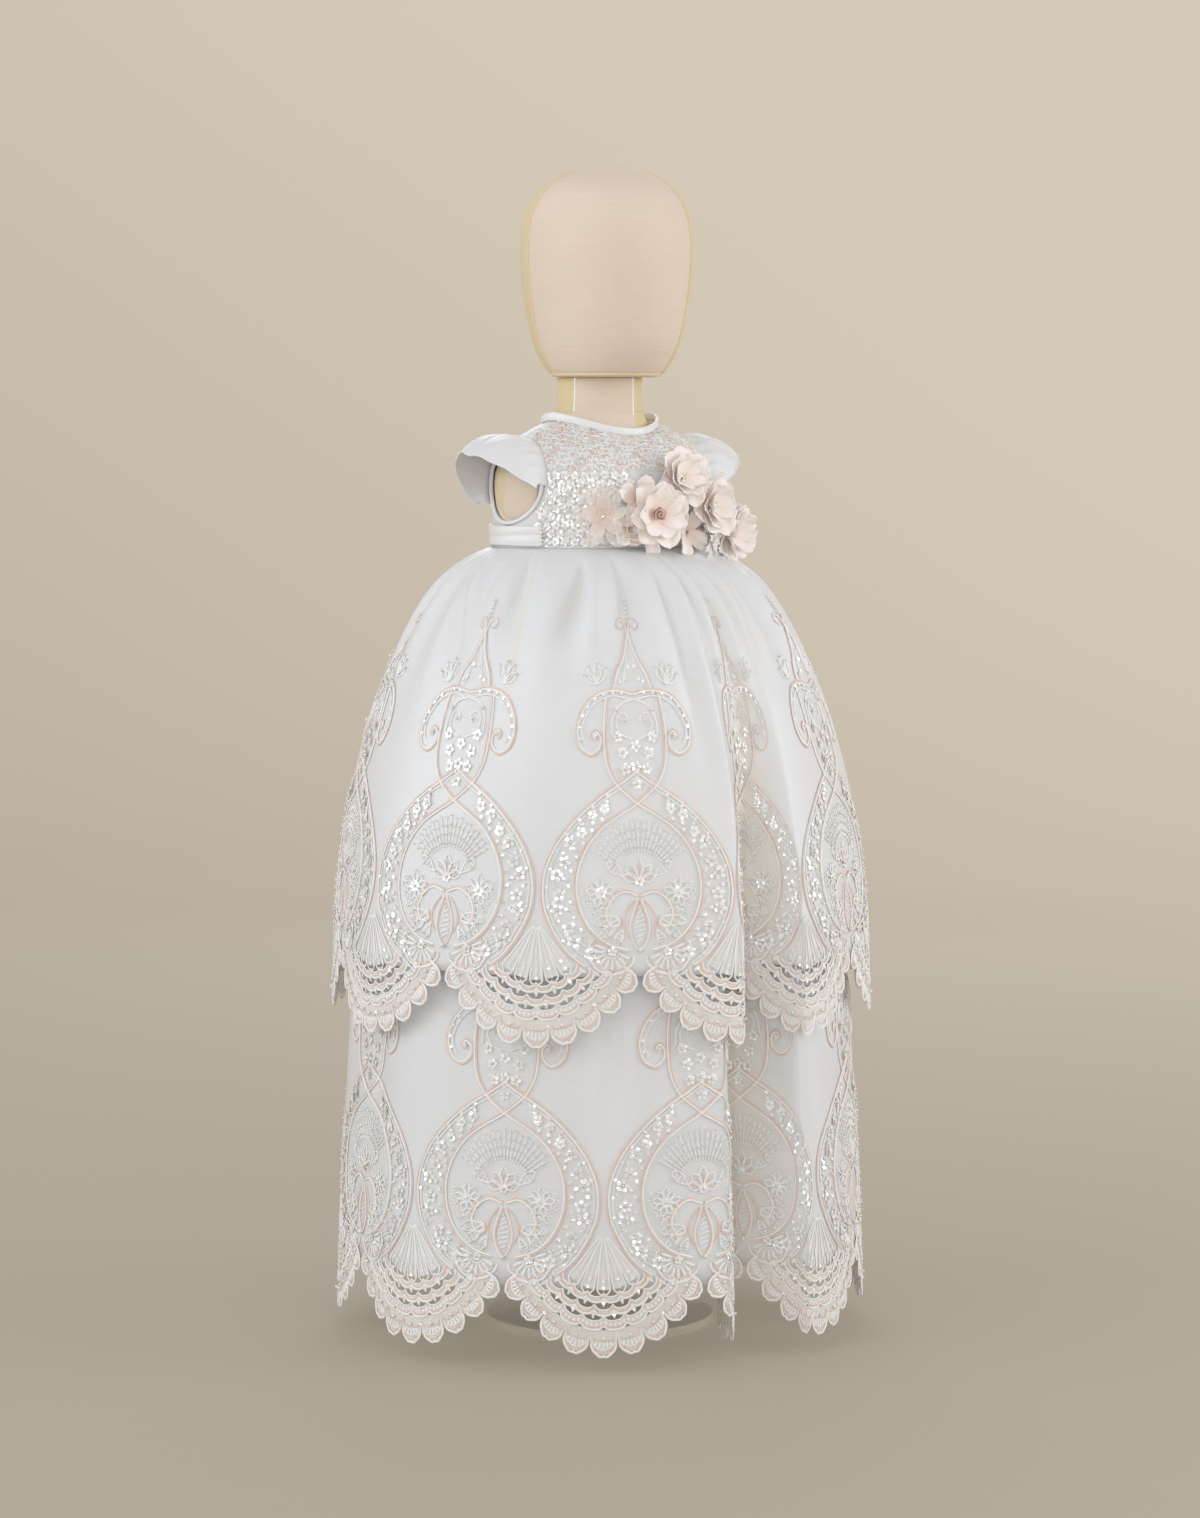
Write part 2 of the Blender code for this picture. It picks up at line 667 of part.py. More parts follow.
def fan_places(row, axis, side, folded):
    """The points of one row of a half fan. In the fold they are evenly spaced and twice as close."""
    across, height = row
    if folded:
        even = np.linspace(0, 1, 2 * len(across) - 1)
        across, height = even, np.interp(even, across, height)
    return [(axis + side * 0.5 * share, level) for share, level in zip(across, height)]


def lace_repeat(plan, axis, spire_rows):
    """One fan with half a medallion on each side of it."""
    for side in (-1, 1):
        folded = in_fold(plan.skirt.fold, axis + 0.25 * side)
        rows = [fan_places(row, axis, side, folded) for row in (FAN_HEM,) + FAN_ROWS]
        for c in range(len(rows[0]) - 1):
            (t0, h0), (t1, h1) = rows[0][c], rows[0][c + 1]
            lobe = ((t0 + t1) / 2, (h0 + h1) / 2 - LOBE_OUT)
            ring = [(t0, h0), lobe, (t1, h1), rows[1][c + 1], rows[1][c]]
            plan.cell(ring if side > 0 else ring[::-1])
            for r in range(1, len(rows) - 1):
                corners = [rows[r][c], rows[r][c + 1], rows[r + 1][c + 1], rows[r + 1][c]]
                corners = corners if side > 0 else corners[::-1]
                if r - 1 in (STICK_ROW, ARCADE_ROW) and c in PIERCED_COLUMNS and not folded:
                    plan.pierced(corners)
                else:
                    plan.cell(corners)
        medallion_side(plan, axis + side * 0.5, -side, rows[-1], spire_rows)


def medallion_side(plan, axis, side, shoulder, spire_rows):
    """Half of the spire that stands on a medallion: neck, arm, tent and finial."""
    repeat = 155.0

    def place(x, height):
        return (axis + side * x / repeat, height)

    below_out, below_in = shoulder[-2], shoulder[-1]
    for height, half in SPIRE[:spire_rows]:
        above_out, above_in = place(half, height), place(0.0, height)
        corners = [below_in, below_out, above_out, above_in]
        plan.cell(corners if side > 0 else corners[::-1])
        if (height, half) == SPIRE[0]:
            split = place(24.0, 258.0)
        if (height, half) == SPIRE[1]:
            plan.faces.pop()
            ring = [below_in, below_out, split, above_out, above_in]
            plan.cell(ring if side > 0 else ring[::-1])
            for corners in ARM:
                ring = [place(*corner) for corner in corners]
                plan.cell(ring if side > 0 else ring[::-1])
        below_out, below_in = above_out, above_in


def make_lace(name, skirt, spire_rows):
    """The edging lace in two stretches, which meet inside the front fold and at the back."""
    stretches = (("right", 0.5, HIDDEN_SPLIT), ("left", HIDDEN_SPLIT, REPEATS + 0.5))
    surface = skirt_surface(skirt)
    for half, first, last in stretches:
        plan = LacePlan(skirt, first, last)
        for axis in range(round(first + 0.5), round(last + 0.5)):
            lace_repeat(plan, axis, spire_rows)
        faces = [face for face in plan.faces if len(set(face)) == len(face)]
        clear = skirt.lace_gap * MM
        wall(f"{name}_{half}", plan.points, faces, surface, clear, clear + LACE, "lace", (1e-3, 0.5))


def make_corsage():
    """Fabric flowers along the front of the waist: lobed cups whose petals come from one cosine."""
    surface = level_surface(BODICE)
    heights = [level.height for level in BODICE[:5]]
    turn = circle(BLOOM_COLUMNS)[:, None]
    for bloom in BLOOMS:
        v = along(heights, range(5), bloom.height)
        angle = FRONT + math.asin(bloom.side / 92.0)
        seat = surface(angle, v)
        normal = outward(surface, np.array(angle), np.array(v), 1e-3, 1e-3)
        side = np.cross([0, 0, 1.0], normal)
        side /= np.linalg.norm(side)
        up = np.cross(normal, side)
        leaf = 0.74 + 0.26 * np.abs(np.cos(bloom.petals * turn / 2 + math.radians(bloom.tilt)))
        rings = []
        for share, rise in ((BLOOM_STALK, bloom.seat - bloom.stand_off),) + BLOOM_SECTION:
            reach = share * bloom.radius * MM * (leaf if share > 0.4 else 1.0)
            middle = seat + normal * (bloom.stand_off + rise) * MM
            rings.append(middle + reach * (np.cos(turn) * side + np.sin(turn) * up))
        solid_of_rings(bloom.name, np.array(rings), "petals")


def main():
    clear_scene()
    make_form()
    make_stand()
    make_bodice()
    make_neck_binding()
    make_armhole_bindings()
    make_sleeves()
    make_sash()
    make_buttons()
    make_skirt("overskirt", OVERSKIRT)
    make_skirt("underskirt", UNDERSKIRT)
    make_lace("overskirt_lace", OVERSKIRT, len(SPIRE))
    make_lace("underskirt_lace", UNDERSKIRT, SPIRE_UNDER)
    make_corsage()


main()
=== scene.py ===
"""Looks of a baby's christening gown on its limbless dress form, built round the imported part.

Sizes are in millimetres unless a name ends in _m. Surfaces are worked out as arrays and
come out in metres. The gown faces -Y, and its right side is at -X.
"""

import math
from functools import partial

import bpy
import numpy as np
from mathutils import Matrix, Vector


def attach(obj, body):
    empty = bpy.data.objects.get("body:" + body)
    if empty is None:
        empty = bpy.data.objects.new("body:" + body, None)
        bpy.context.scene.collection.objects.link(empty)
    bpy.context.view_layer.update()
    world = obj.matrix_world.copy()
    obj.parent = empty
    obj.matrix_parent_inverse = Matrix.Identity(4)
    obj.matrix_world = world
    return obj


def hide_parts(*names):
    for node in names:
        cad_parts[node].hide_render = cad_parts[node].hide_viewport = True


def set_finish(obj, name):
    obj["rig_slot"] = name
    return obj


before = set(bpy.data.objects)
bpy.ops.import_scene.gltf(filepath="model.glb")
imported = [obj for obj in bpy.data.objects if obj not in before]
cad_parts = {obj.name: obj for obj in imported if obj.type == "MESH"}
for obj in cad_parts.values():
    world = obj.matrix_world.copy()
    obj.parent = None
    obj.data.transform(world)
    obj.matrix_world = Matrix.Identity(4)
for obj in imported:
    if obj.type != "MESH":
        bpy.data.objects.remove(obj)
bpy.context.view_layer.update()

MM = 0.001
TURN = 2 * math.pi
FRONT = math.radians(-90)
UV_PER_MM = 0.01

# Colours, linear
SATIN_WHITE = (0.81, 0.81, 0.815)
# Painted shade and painted light: a warm colour that satin takes on deep in its folds and along a fold's edge
SATIN_PAINTED_SHADE_AND_GLOW = (0.85, 0.76, 0.58)
LACE_WHITE = (0.96, 0.935, 0.905)
CORD_WHITE = (0.98, 0.97, 0.955)
BLUSH = (0.90, 0.64, 0.51)
PEARL = (0.92, 0.90, 0.84)
LINEN_PEACH = (0.82, 0.695, 0.58)
LINEN_GOLD = (0.80, 0.67, 0.42)
PETAL_PALE = (1.0, 0.93, 0.875)
PETAL_DEEP = (0.80, 0.47, 0.39)
FLOOR_BEIGE = (0.20, 0.18, 0.15)
# Painted light: the colours of the room's glow, low and high
ROOM_PAINTED_LIGHT_LOW = (0.165, 0.145, 0.114)
ROOM_PAINTED_LIGHT_HIGH = (0.54, 0.475, 0.395)
# Painted light: the side towards which the room glows lighter
PAINTED_LIGHT_SIDE = math.radians(-38)
# Painted light: the room glows though it is no lamp, darker near the gown and lighter farther out, by metres
# out along the floor, and added to that by metres up the wall
FLOOR_PAINTED_LIGHT = ((0.0, 0.8, 1.9, 2.5, 3.1, 3.4), (0.19, 0.26, 0.395, 0.50, 0.61, 0.65))
WALL_PAINTED_LIGHT = ((0.0, 0.08, 0.3, 0.7, 1.1, 1.5, 3.0), (0.0, 0.075, 0.15, 0.235, 0.305, 0.38, 0.6))

# The part's own sizes: height, rise at the sides, half width, half depth
BODICE = np.array([
    (624.6, 0, 90.5, 70.0), (650.0, 0, 92.0, 71.0), (672.0, 0, 93.5, 71.5), (688.0, 0, 92.0, 68.0),
    (699.0, 2, 84.0, 60.0), (705.5, 6, 70.0, 51.0), (708.5, 10, 57.0, 45.5), (710.0, 12, 48.0, 42.5),
])
TORSO = np.array([
    (560.0, 0, 62.0, 52.0), (566.0, 0, 74.0, 60.0), (585.0, 0, 85.0, 65.0), (624.0, 0, 87.6, 67.2),
    (650.0, 0, 89.2, 68.4), (672.0, 0, 90.8, 69.0), (686.0, 0, 89.2, 65.4), (696.0, 1, 81.0, 57.0),
    (702.0, 4, 67.0, 48.6), (706.0, 7, 53.0, 42.6), (710.0, 5, 40.0, 39.0),
])
NECK = np.array([(710.3, 5, 37.0, 36.5), (728.0, 0, 34.0, 35.0), (756.7, 0, 33.0, 35.0)])
HEAD = np.array([
    (757.0, 35.0, 40.0), (759.5, 41.0, 49.0), (768.0, 47.0, 57.0), (785.0, 53.5, 66.5),
    (810.0, 58.5, 73.0), (838.0, 61.5, 77.0), (860.0, 62.0, 78.0), (882.0, 59.5, 74.5),
    (900.0, 51.5, 64.5), (912.0, 39.0, 49.5), (919.0, 24.0, 31.0), (921.5, 10.0, 13.0),
])
HEAD_FORWARD = 9.0

REPEATS = 9
GATHERS = 24
REPEAT_LENGTH = 155.0
OVER = {
    "rings": np.array([
        (624.2, 91.6, 71.6), (618.0, 104.0, 88.0), (604.0, 121.0, 114.0), (585.0, 137.0, 134.0),
        (562.0, 151.5, 150.0), (522.0, 170.5, 170.0), (475.0, 187.0, 187.0), (421.0, 200.0, 200.0),
        (373.0, 207.0, 207.0), (331.0, 211.0, 211.0), (296.0, 212.0, 212.0), (246.0, 213.0, 213.0),
    ]),
    "fold": (0.0, 1.0, -98.2, -79.8, 46.0),
    "top": 624.2, "hem": 305.0, "tip": 246.0, "lace_gap": 0.8, "gather": 4.0, "wave": 3.0, "phase": 0.6,
}
UNDER = {
    "rings": np.array([
        (624.2, 89.5, 69.1), (600.0, 106.0, 93.0), (566.0, 134.0, 129.0), (500.0, 164.0, 163.0),
        (420.0, 182.0, 182.0), (330.0, 193.0, 193.0), (259.0, 198.5, 198.5), (150.0, 204.5, 204.5),
        (62.0, 208.5, 208.5), (8.0, 209.5, 209.5),
    ]),
    "fold": (-0.38, 0.92, -100.0, -77.0, 62.0),
    "top": 624.2, "hem": 66.0, "tip": 9.0, "lace_gap": 0.8, "gather": 1.5, "wave": 3.0, "phase": 2.4,
}

# Creases of each skirt: place in repeats at the top, drift in repeats per 100 mm down,
# top height, length, width in repeats, depth. A negative depth is a ridge.
OVER_CREASES = (
    (6.95, 0.42, 622, 120, 0.060, 5.0),
    (7.12, 0.30, 620, 170, 0.075, -3.0),
    (7.62, 0.10, 622, 70, 0.050, 3.5),
    (8.22, -0.26, 618, 78, 0.052, 6.5),
    (8.34, -0.16, 619, 90, 0.060, -4.5),
    (8.50, 0.06, 622, 60, 0.050, 3.0),
    (8.84, 0.03, 621, 190, 0.042, 4.2),
    (8.93, 0.05, 620, 240, 0.050, -2.6),
    (1.12, -0.05, 620, 130, 0.060, 4.0),
    (1.52, 0.04, 620, 150, 0.070, -3.0),
    (1.98, 0.05, 621, 110, 0.060, 4.6),
    (2.40, -0.08, 620, 190, 0.080, 3.4),
    (2.92, 0.03, 622, 90, 0.055, 4.2),
    (3.35, 0.10, 620, 170, 0.080, -3.2),
    (3.80, -0.05, 621, 140, 0.060, 4.8),
    (4.28, 0.04, 622, 100, 0.060, -3.0),
    (4.70, 0.08, 620, 200, 0.080, 3.6),
    (5.20, -0.06, 621, 120, 0.055, 4.6),
    (5.66, 0.05, 622, 160, 0.075, -3.4),
    (6.10, 0.10, 620, 130, 0.060, 4.2),
    (6.52, -0.04, 622, 90, 0.055, 3.4),
)
UNDER_CREASES = (
    (0.98, 0.02, 300, 210, 0.060, 3.0),
    (2.05, -0.02, 310, 190, 0.090, -3.0),
    (3.10, 0.03, 300, 220, 0.080, 2.6),
    (4.02, 0.02, 320, 160, 0.090, -2.6),
    (4.85, -0.02, 300, 200, 0.080, 3.0),
    (5.70, 0.02, 310, 220, 0.090, -2.6),
    (6.62, 0.02, 300, 180, 0.070, 2.8),
    (7.55, -0.01, 330, 190, 0.090, -2.0),
    (8.04, 0.02, 300, 170, 0.060, 2.2),
    (8.40, -0.02, 320, 150, 0.070, 2.4),
)
# Painted light: warm lines painted where light comes through a fold's edge: turn at the waist, its drift,
# top, low end, strength
PAINTED_GLOW_LINES = (
    (1.0, -0.05, 622, 470, 0.55),
    (0.41, 0.02, 622, 500, 0.4),
    (2.62, -0.06, 620, 520, 0.4),
    (4.35, 0.05, 621, 490, 0.5),
    (6.10, -0.03, 622, 510, 0.45),
    (7.72, 0.04, 619, 480, 0.5),
    (9.41, 0.02, 622, 500, 0.4),
)
FINE_GATHERS = 61
FINE_GATHER_DEPTH = 1.3
# Below this height a skirt hangs loose, and its gathers swell over the first millimetres below the waist
LOOSE_HEIGHT = 262.0
GATHER_SWELL = 28.0
# Half the bodice's width above the waist
WAIST_HALF_WIDTH = 92.0
# Steps for a tangent on a surface whose levels are far apart
FINE_STEP = (1e-3, 1e-3)
UP = (0, 0, 1.0)


def along(keys, values, at):
    """A smooth curve through a table: a cubic between rows, with slopes from each row's neighbours."""
    keys, values = np.asarray(keys, float), np.asarray(values, float)
    if keys[0] > keys[-1]:
        keys, values = keys[::-1], values[::-1]
    at = np.clip(at, keys[0], keys[-1])
    slopes = np.gradient(values, keys)
    i = np.clip(np.searchsorted(keys, at, side="right") - 1, 0, len(keys) - 2)
    step = keys[i + 1] - keys[i]
    t = (at - keys[i]) / step
    return (
        values[i] * (1 + 2 * t) * (1 - t) ** 2
        + slopes[i] * step * t * (1 - t) ** 2
        + values[i + 1] * t * t * (3 - 2 * t)
        + slopes[i + 1] * step * t * t * (t - 1)
    )


def unit(vectors):
    """The same vectors, each one unit long."""
    return vectors / np.maximum(np.linalg.norm(vectors, axis=-1, keepdims=True), 1e-12)


def round_turn(count):
    """Angles all round a circle, evenly spaced."""
    return np.arange(count) * TURN / count


def ease(x):
    """Zero below 0, one above 1, and a smooth step between."""
    x = np.clip(x, 0, 1)
    return x * x * (3 - 2 * x)


def fold_place(fold, turns):
    """The angle of each place along the cloth, and how far the deep front fold draws it in, 0 to 1."""
    first, last, from_deg, to_deg, _ = fold
    turns = (turns - first) % REPEATS
    span = last - first
    opening, start = math.radians(to_deg - from_deg), math.radians(from_deg)
    share = np.clip(turns / span, 0, 1)
    inside = start + opening * (share - 0.03 * np.sin(TURN * share))
    outside = start + opening + (TURN - opening) * (turns - span) / (REPEATS - span)
    drawn = np.where(turns < span, np.sin(math.pi * share) ** 2, 0.0)
    return np.where(turns < span, inside, outside), drawn


def crease_field(creases, turns, height):
    """Sum of soft troughs. Each is a bell across, widens as it falls, and swells then fades on its way."""
    total = np.zeros(np.broadcast(turns, height).shape)
    for at, drift, top, length, width, depth in creases:
        down = (top - height) / length
        middle = at + drift * (top - height) / 100
        away = (turns - middle + REPEATS / 2) % REPEATS - REPEATS / 2
        spread = width * (0.55 + 1.3 * np.clip(down, 0, 1))
        swell = ease(down / 0.18) * (1 - ease((down - 0.45) / 0.55))
        total += depth * np.exp(-((away / spread) ** 2)) * swell
    return total


def skirt_surface(skirt, creases):
    """A skirt's outer face, in repeats round it and height.

    Rings of an ellipse that widens down the table, pulled in or out by cosine gathers at the
    waist, soft waves lower down, one deep front fold, and the creases.
    """
    rings, fold = skirt["rings"], skirt["fold"]

    def surface(turns, height):
        turns, height = np.asarray(turns, float), np.asarray(height, float)
        angle, drawn = fold_place(fold, turns)
        half_width = along(rings[:, 0], rings[:, 1], height)
        half_depth = along(rings[:, 0], rings[:, 2], height)
        fall = np.clip((skirt["top"] - height) / (skirt["top"] - LOOSE_HEIGHT), 0, 1)
        loose = ease(fall)
        near_waist = np.clip((skirt["top"] - height) / GATHER_SWELL, 0.04, 1) * np.exp(-((fall / 0.24) ** 2))
        drift = 0.9 * np.sin(TURN * turns / 3)
        gather = skirt["gather"] * near_waist * np.cos(TURN * GATHERS * turns / REPEATS + drift)
        fine = np.cos(TURN * FINE_GATHERS * turns / REPEATS + 1.7 * np.sin(TURN * turns * 7 / REPEATS))
        gather = gather + FINE_GATHER_DEPTH * near_waist * np.exp(-fall / 0.08) * fine
        wave = skirt["wave"] * loose * (
            0.65 * np.cos(TURN * turns) + 0.5 * np.sin(TURN * turns * 5 / REPEATS + skirt["phase"])
        )
        pull = gather + (1 - drawn) * wave - fold[4] * loose * drawn
        pull = (pull - crease_field(creases, turns, height)) / half_width
        x = half_width * (1 + pull) * np.cos(angle)
        y = half_depth * (1 + pull) * np.sin(angle)
        return np.stack([x, y, height + 0 * angle], axis=-1) * MM

    return surface


def level_surface(levels):
    """A body's face: an ellipse at each level, joined smoothly. v counts the levels from 0."""
    rows = np.arange(len(levels))

    def surface(angle, v):
        angle, v = np.asarray(angle, float), np.asarray(v, float)
        lift = along(rows, levels[:, 1], v) * np.cos(angle) ** 2
        z = along(rows, levels[:, 0], v) + lift
        x = along(rows, levels[:, 2], v) * np.cos(angle)
        y = along(rows, levels[:, 3], v) * np.sin(angle)
        return np.stack([x, y, z], axis=-1) * MM

    return surface


def off(surface, u, v, lift, step=(2e-3, 0.4)):
    """Points of a surface moved out along its normal, which is the cross product of its two tangents."""
    along_u = surface(u + step[0], v) - surface(u - step[0], v)
    along_v = surface(u, v + step[1]) - surface(u, v - step[1])
    return surface(u, v) + unit(np.cross(along_u, along_v)) * (np.asarray(lift)[..., None] * MM)


def grid_quads(rows, columns, wrap=False, first=0, loop=False):
    """Corner numbers of a grid's faces, for points that run along the columns first.

    wrap joins the last column to the first, and loop joins the last row to the first.
    """
    down, across = rows if loop else rows - 1, columns if wrap else columns - 1
    r, c = np.meshgrid(np.arange(down), np.arange(across), indexing="ij")
    d, e = (c + 1) % columns, (r + 1) % rows
    quads = np.stack([r * columns + c, r * columns + d, e * columns + d, e * columns + c], -1)
    return quads.reshape(-1, 4) + first


def triangles(quads):
    """Each four-cornered face as two triangles."""
    return np.concatenate([quads[:, [0, 1, 2]], quads[:, [0, 2, 3]]])


def turned(profile, sides=96):
    """A profile of (radius, height) turned round the upright axis."""
    profile, turn = np.asarray(profile), round_turn(sides)
    x, y = np.outer(profile[:, 0], np.cos(turn)), np.outer(profile[:, 0], np.sin(turn))
    return np.stack([x, y, np.outer(profile[:, 1], np.ones(sides))], -1)


def joined(parts):
    """Several sets of arrays as one set: points first, faces second, then any values by point."""
    starts = np.cumsum([0] + [len(part[0]) for part in parts[:-1]])
    moved = [(part[0], part[1] + start, *part[2:]) for part, start in zip(parts, starts)]
    return [np.concatenate(arrays) for arrays in zip(*moved)]


def put(name, points, faces, material, slot, uv=None, values=None, wall=0.0):
    """A mesh piece that rides on the frame. uv has a place for each point, or for each face's corner."""
    points, faces = np.asarray(points, np.float32).reshape(-1, 3), np.asarray(faces, np.int32)
    corners = faces.shape[1]
    mesh = bpy.data.meshes.new(name)
    mesh.vertices.add(len(points))
    mesh.vertices.foreach_set("co", points.ravel())
    mesh.loops.add(faces.size)
    mesh.loops.foreach_set("vertex_index", faces.ravel())
    mesh.polygons.add(len(faces))
    mesh.polygons.foreach_set("loop_start", np.arange(len(faces), dtype=np.int32) * corners)
    mesh.update(calc_edges=True)
    if uv is not None:
        uv = np.asarray(uv, np.float32).reshape(-1, 2)
        at_corner = uv[faces.ravel()] if len(uv) == len(points) else uv
        mesh.uv_layers.new(name="cloth").data.foreach_set("uv", at_corner.ravel())
    for key, value in (values or {}).items():
        layer = mesh.attributes.new(key, "FLOAT", "POINT")
        layer.data.foreach_set("value", np.asarray(value, np.float32).ravel())
    mesh.validate()
    mesh.shade_smooth()
    mesh.materials.append(material)
    piece = bpy.data.objects.new(name, mesh)
    bpy.context.scene.collection.objects.link(piece)
    if wall:
        modifier = piece.modifiers.new("wall", "SOLIDIFY")
        modifier.thickness = abs(wall) * MM
        modifier.offset = -1 if wall > 0 else 1
    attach(piece, "root")
    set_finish(piece, slot)
    return piece


def grid_uv(u, v, wrap_to=None):
    """A UV place for each face's corner in a grid. wrap_to is the u where a closed grid meets itself."""
    u = np.append(u, wrap_to) if wrap_to is not None else np.asarray(u)
    r, c = np.meshgrid(np.arange(len(v) - 1), np.arange(len(u) - 1), indexing="ij")
    low, high = np.asarray(v)[r], np.asarray(v)[r + 1]
    left, right = u[c], u[c + 1]
    return np.stack([left, low, right, low, right, high, left, high], -1).reshape(-1, 2) * UV_PER_MM


def feed(tree, socket, value):
    """Links a socket to another one, or sets its own value. A colour may leave out its alpha."""
    if isinstance(value, bpy.types.NodeSocket):
        tree.links.new(value, socket)
    elif socket.type == "RGBA":
        socket.default_value = (*value[:3], 1)
    else:
        socket.default_value = value


def node(tree, kind, inputs=None, **settings):
    """A shader node with its settings, and with the named inputs linked or set."""
    made = tree.nodes.new(kind)
    for key, value in settings.items():
        setattr(made, key, value)
    for key, value in (inputs or {}).items():
        feed(tree, made.inputs[key], value)
    return made


SOCKET_KINDS = {1: "NodeSocketFloat", 3: "NodeSocketVector", 4: "NodeSocketColor"}


def group(name, inputs, outputs):
    """An empty shader group and its two inner ends.

    An input's start value has one number, three for a place or four for a colour. An output gives that count.
    """
    tree = bpy.data.node_groups.new(name, "ShaderNodeTree")
    for label, start in inputs.items():
        kind = SOCKET_KINDS[np.size(start)]
        tree.interface.new_socket(name=label, in_out="INPUT", socket_type=kind).default_value = start
    for label, count in outputs.items():
        tree.interface.new_socket(name=label, in_out="OUTPUT", socket_type=SOCKET_KINDS[count])
    return tree, tree.nodes.new("NodeGroupInput").outputs, tree.nodes.new("NodeGroupOutput").inputs


def math_node(tree, operation, *values, clamp=False):
    """A Math node with each of its inputs linked or set."""
    inputs = dict(enumerate(values))
    return node(tree, "ShaderNodeMath", inputs, operation=operation, use_clamp=clamp).outputs[0]


def blend_node(tree, factor, a, b, how="MIX"):
    """A colour Mix node with each side linked or set."""
    inputs = {"Factor": factor, "A": a, "B": b}
    return node(tree, "ShaderNodeMix", inputs, data_type="RGBA", blend_type=how).outputs["Result"]


def weave_group():
    """Woven threads: the higher of two sine waves at right angles, and long slubs from a stretched noise."""
    tree, source, sink = group(
        "woven_threads", {"Place": (0, 0, 0), "Threads": 90.0, "Slubs": 0.5}, {"Height": 1, "Slub": 1})
    inputs = {0: source["Place"], "Scale": source["Threads"]}
    scaled = node(tree, "ShaderNodeVectorMath", inputs, operation="SCALE")
    split = node(tree, "ShaderNodeSeparateXYZ", {0: scaled.outputs[0]}).outputs
    threads = math_node(tree, "MAXIMUM", *[math_node(tree, "SINE", split[way]) for way in "XY"])
    stretch = node(tree, "ShaderNodeMapping", {"Vector": source["Place"], "Scale": (2.2, 60.0, 1.0)})
    noise = {"Vector": stretch.outputs[0], "Scale": 1.0, "Detail": 4.0, "Roughness": 0.65}
    slub = node(tree, "ShaderNodeTexNoise", noise, noise_dimensions="2D").outputs["Fac"]
    lifted = math_node(tree, "MULTIPLY", slub, source["Slubs"])
    feed(tree, sink["Height"], math_node(tree, "ADD", math_node(tree, "MULTIPLY", threads, 0.25), lifted))
    feed(tree, sink["Slub"], slub)
    return tree


def net_group():
    """Tulle: thread where either of two slanted sine waves is near its crest."""
    tree, source, sink = group("tulle_net", {"Place": (0, 0, 0), "Cells": 55.0, "Thread": 0.6}, {"Mask": 1})
    split = node(tree, "ShaderNodeSeparateXYZ", {0: source["Place"]}).outputs
    crests = []
    for operation in ("ADD", "SUBTRACT"):
        slant = math_node(tree, operation, split["X"], split["Y"])
        scaled = math_node(tree, "MULTIPLY", slant, source["Cells"])
        wave = math_node(tree, "SINE", math_node(tree, "MULTIPLY", scaled, math.pi))
        crests.append(math_node(tree, "ABSOLUTE", wave))
    crest = math_node(tree, "MAXIMUM", *crests)
    feed(tree, sink["Mask"], math_node(tree, "GREATER_THAN", crest, source["Thread"]))
    return tree


def drift_group():
    """Two colours mixed by a soft cloud noise, as cloth yellows and dust settles unevenly."""
    white = (1, 1, 1, 1)
    tree, source, sink = group(
        "tone_drift", {"Place": (0, 0, 0), "Size": 12.0, "Light": white, "Deep": white}, {"Colour": 4})
    noise = {"Vector": source["Place"], "Scale": source["Size"], "Detail": 3.0}
    cloud = node(tree, "ShaderNodeTexNoise", noise)
    share = math_node(tree, "MULTIPLY_ADD", cloud.outputs["Fac"], 2.2, -0.75, clamp=True)
    feed(tree, sink["Colour"], blend_node(tree, share, source["Light"], source["Deep"]))
    return tree


WEAVE, NET, DRIFT = weave_group(), net_group(), drift_group()


def start_material(name, roughness, **sockets):
    """A new material: itself, its tree, its Principled shader's inputs, and its coordinates' outputs."""
    made = bpy.data.materials.new(name)
    made.use_nodes = True
    tree = made.node_tree
    shader = tree.nodes["Principled BSDF"].inputs
    for key, value in {"Roughness": roughness, **sockets}.items():
        feed(tree, shader[key.replace("_", " ")], value)
    return made, tree, shader, node(tree, "ShaderNodeTexCoord").outputs


def drift(tree, places, size, light, deep):
    """The colour that comes out of one use of the tone group."""
    inputs = {"Place": places["Object"], "Size": size, "Light": light, "Deep": deep}
    return node(tree, "ShaderNodeGroup", inputs, node_tree=DRIFT).outputs["Colour"]


def weave(tree, places, threads, slubs):
    """What comes out of one use of the weave group: Height and Slub."""
    inputs = {"Place": places["UV"], "Threads": threads, "Slubs": slubs}
    return node(tree, "ShaderNodeGroup", inputs, node_tree=WEAVE).outputs


def attribute(tree, name):
    """A piece's own value by point, as a socket."""
    return node(tree, "ShaderNodeAttribute", attribute_name=name).outputs["Fac"]


def bump_to(tree, shader, height, strength, distance):
    bump = node(tree, "ShaderNodeBump", {"Strength": strength, "Distance": distance, "Height": height})
    feed(tree, shader["Normal"], bump.outputs["Normal"])


def satin_material(name, white, deep, roughness):
    """Dupion satin: white with slubs. A value on the piece's points mixes in a warm colour as painted shade
    where a fold gathers shade, and as painted light along a fold's edge.
    """
    made, tree, shader, places = start_material(name, roughness, Sheen_Weight=0.25, Sheen_Roughness=0.35)
    threads = weave(tree, places, 900.0, 1.6)
    # Painted shade and painted light: the warm colour, mixed in by the piece's value by point
    tone_with_painted_light = blend_node(tree, attribute(tree, "tint_and_painted_light"), drift(tree, places, 9.0, white, deep), SATIN_PAINTED_SHADE_AND_GLOW)
    strength = math_node(tree, "MULTIPLY", threads["Slub"], 0.16)
    feed(tree, shader["Base Color"], blend_node(tree, strength, tone_with_painted_light, (0.72, 0.72, 0.74), "MULTIPLY"))
    bump_to(tree, shader, threads["Height"], 0.22, 0.0004)
    return made


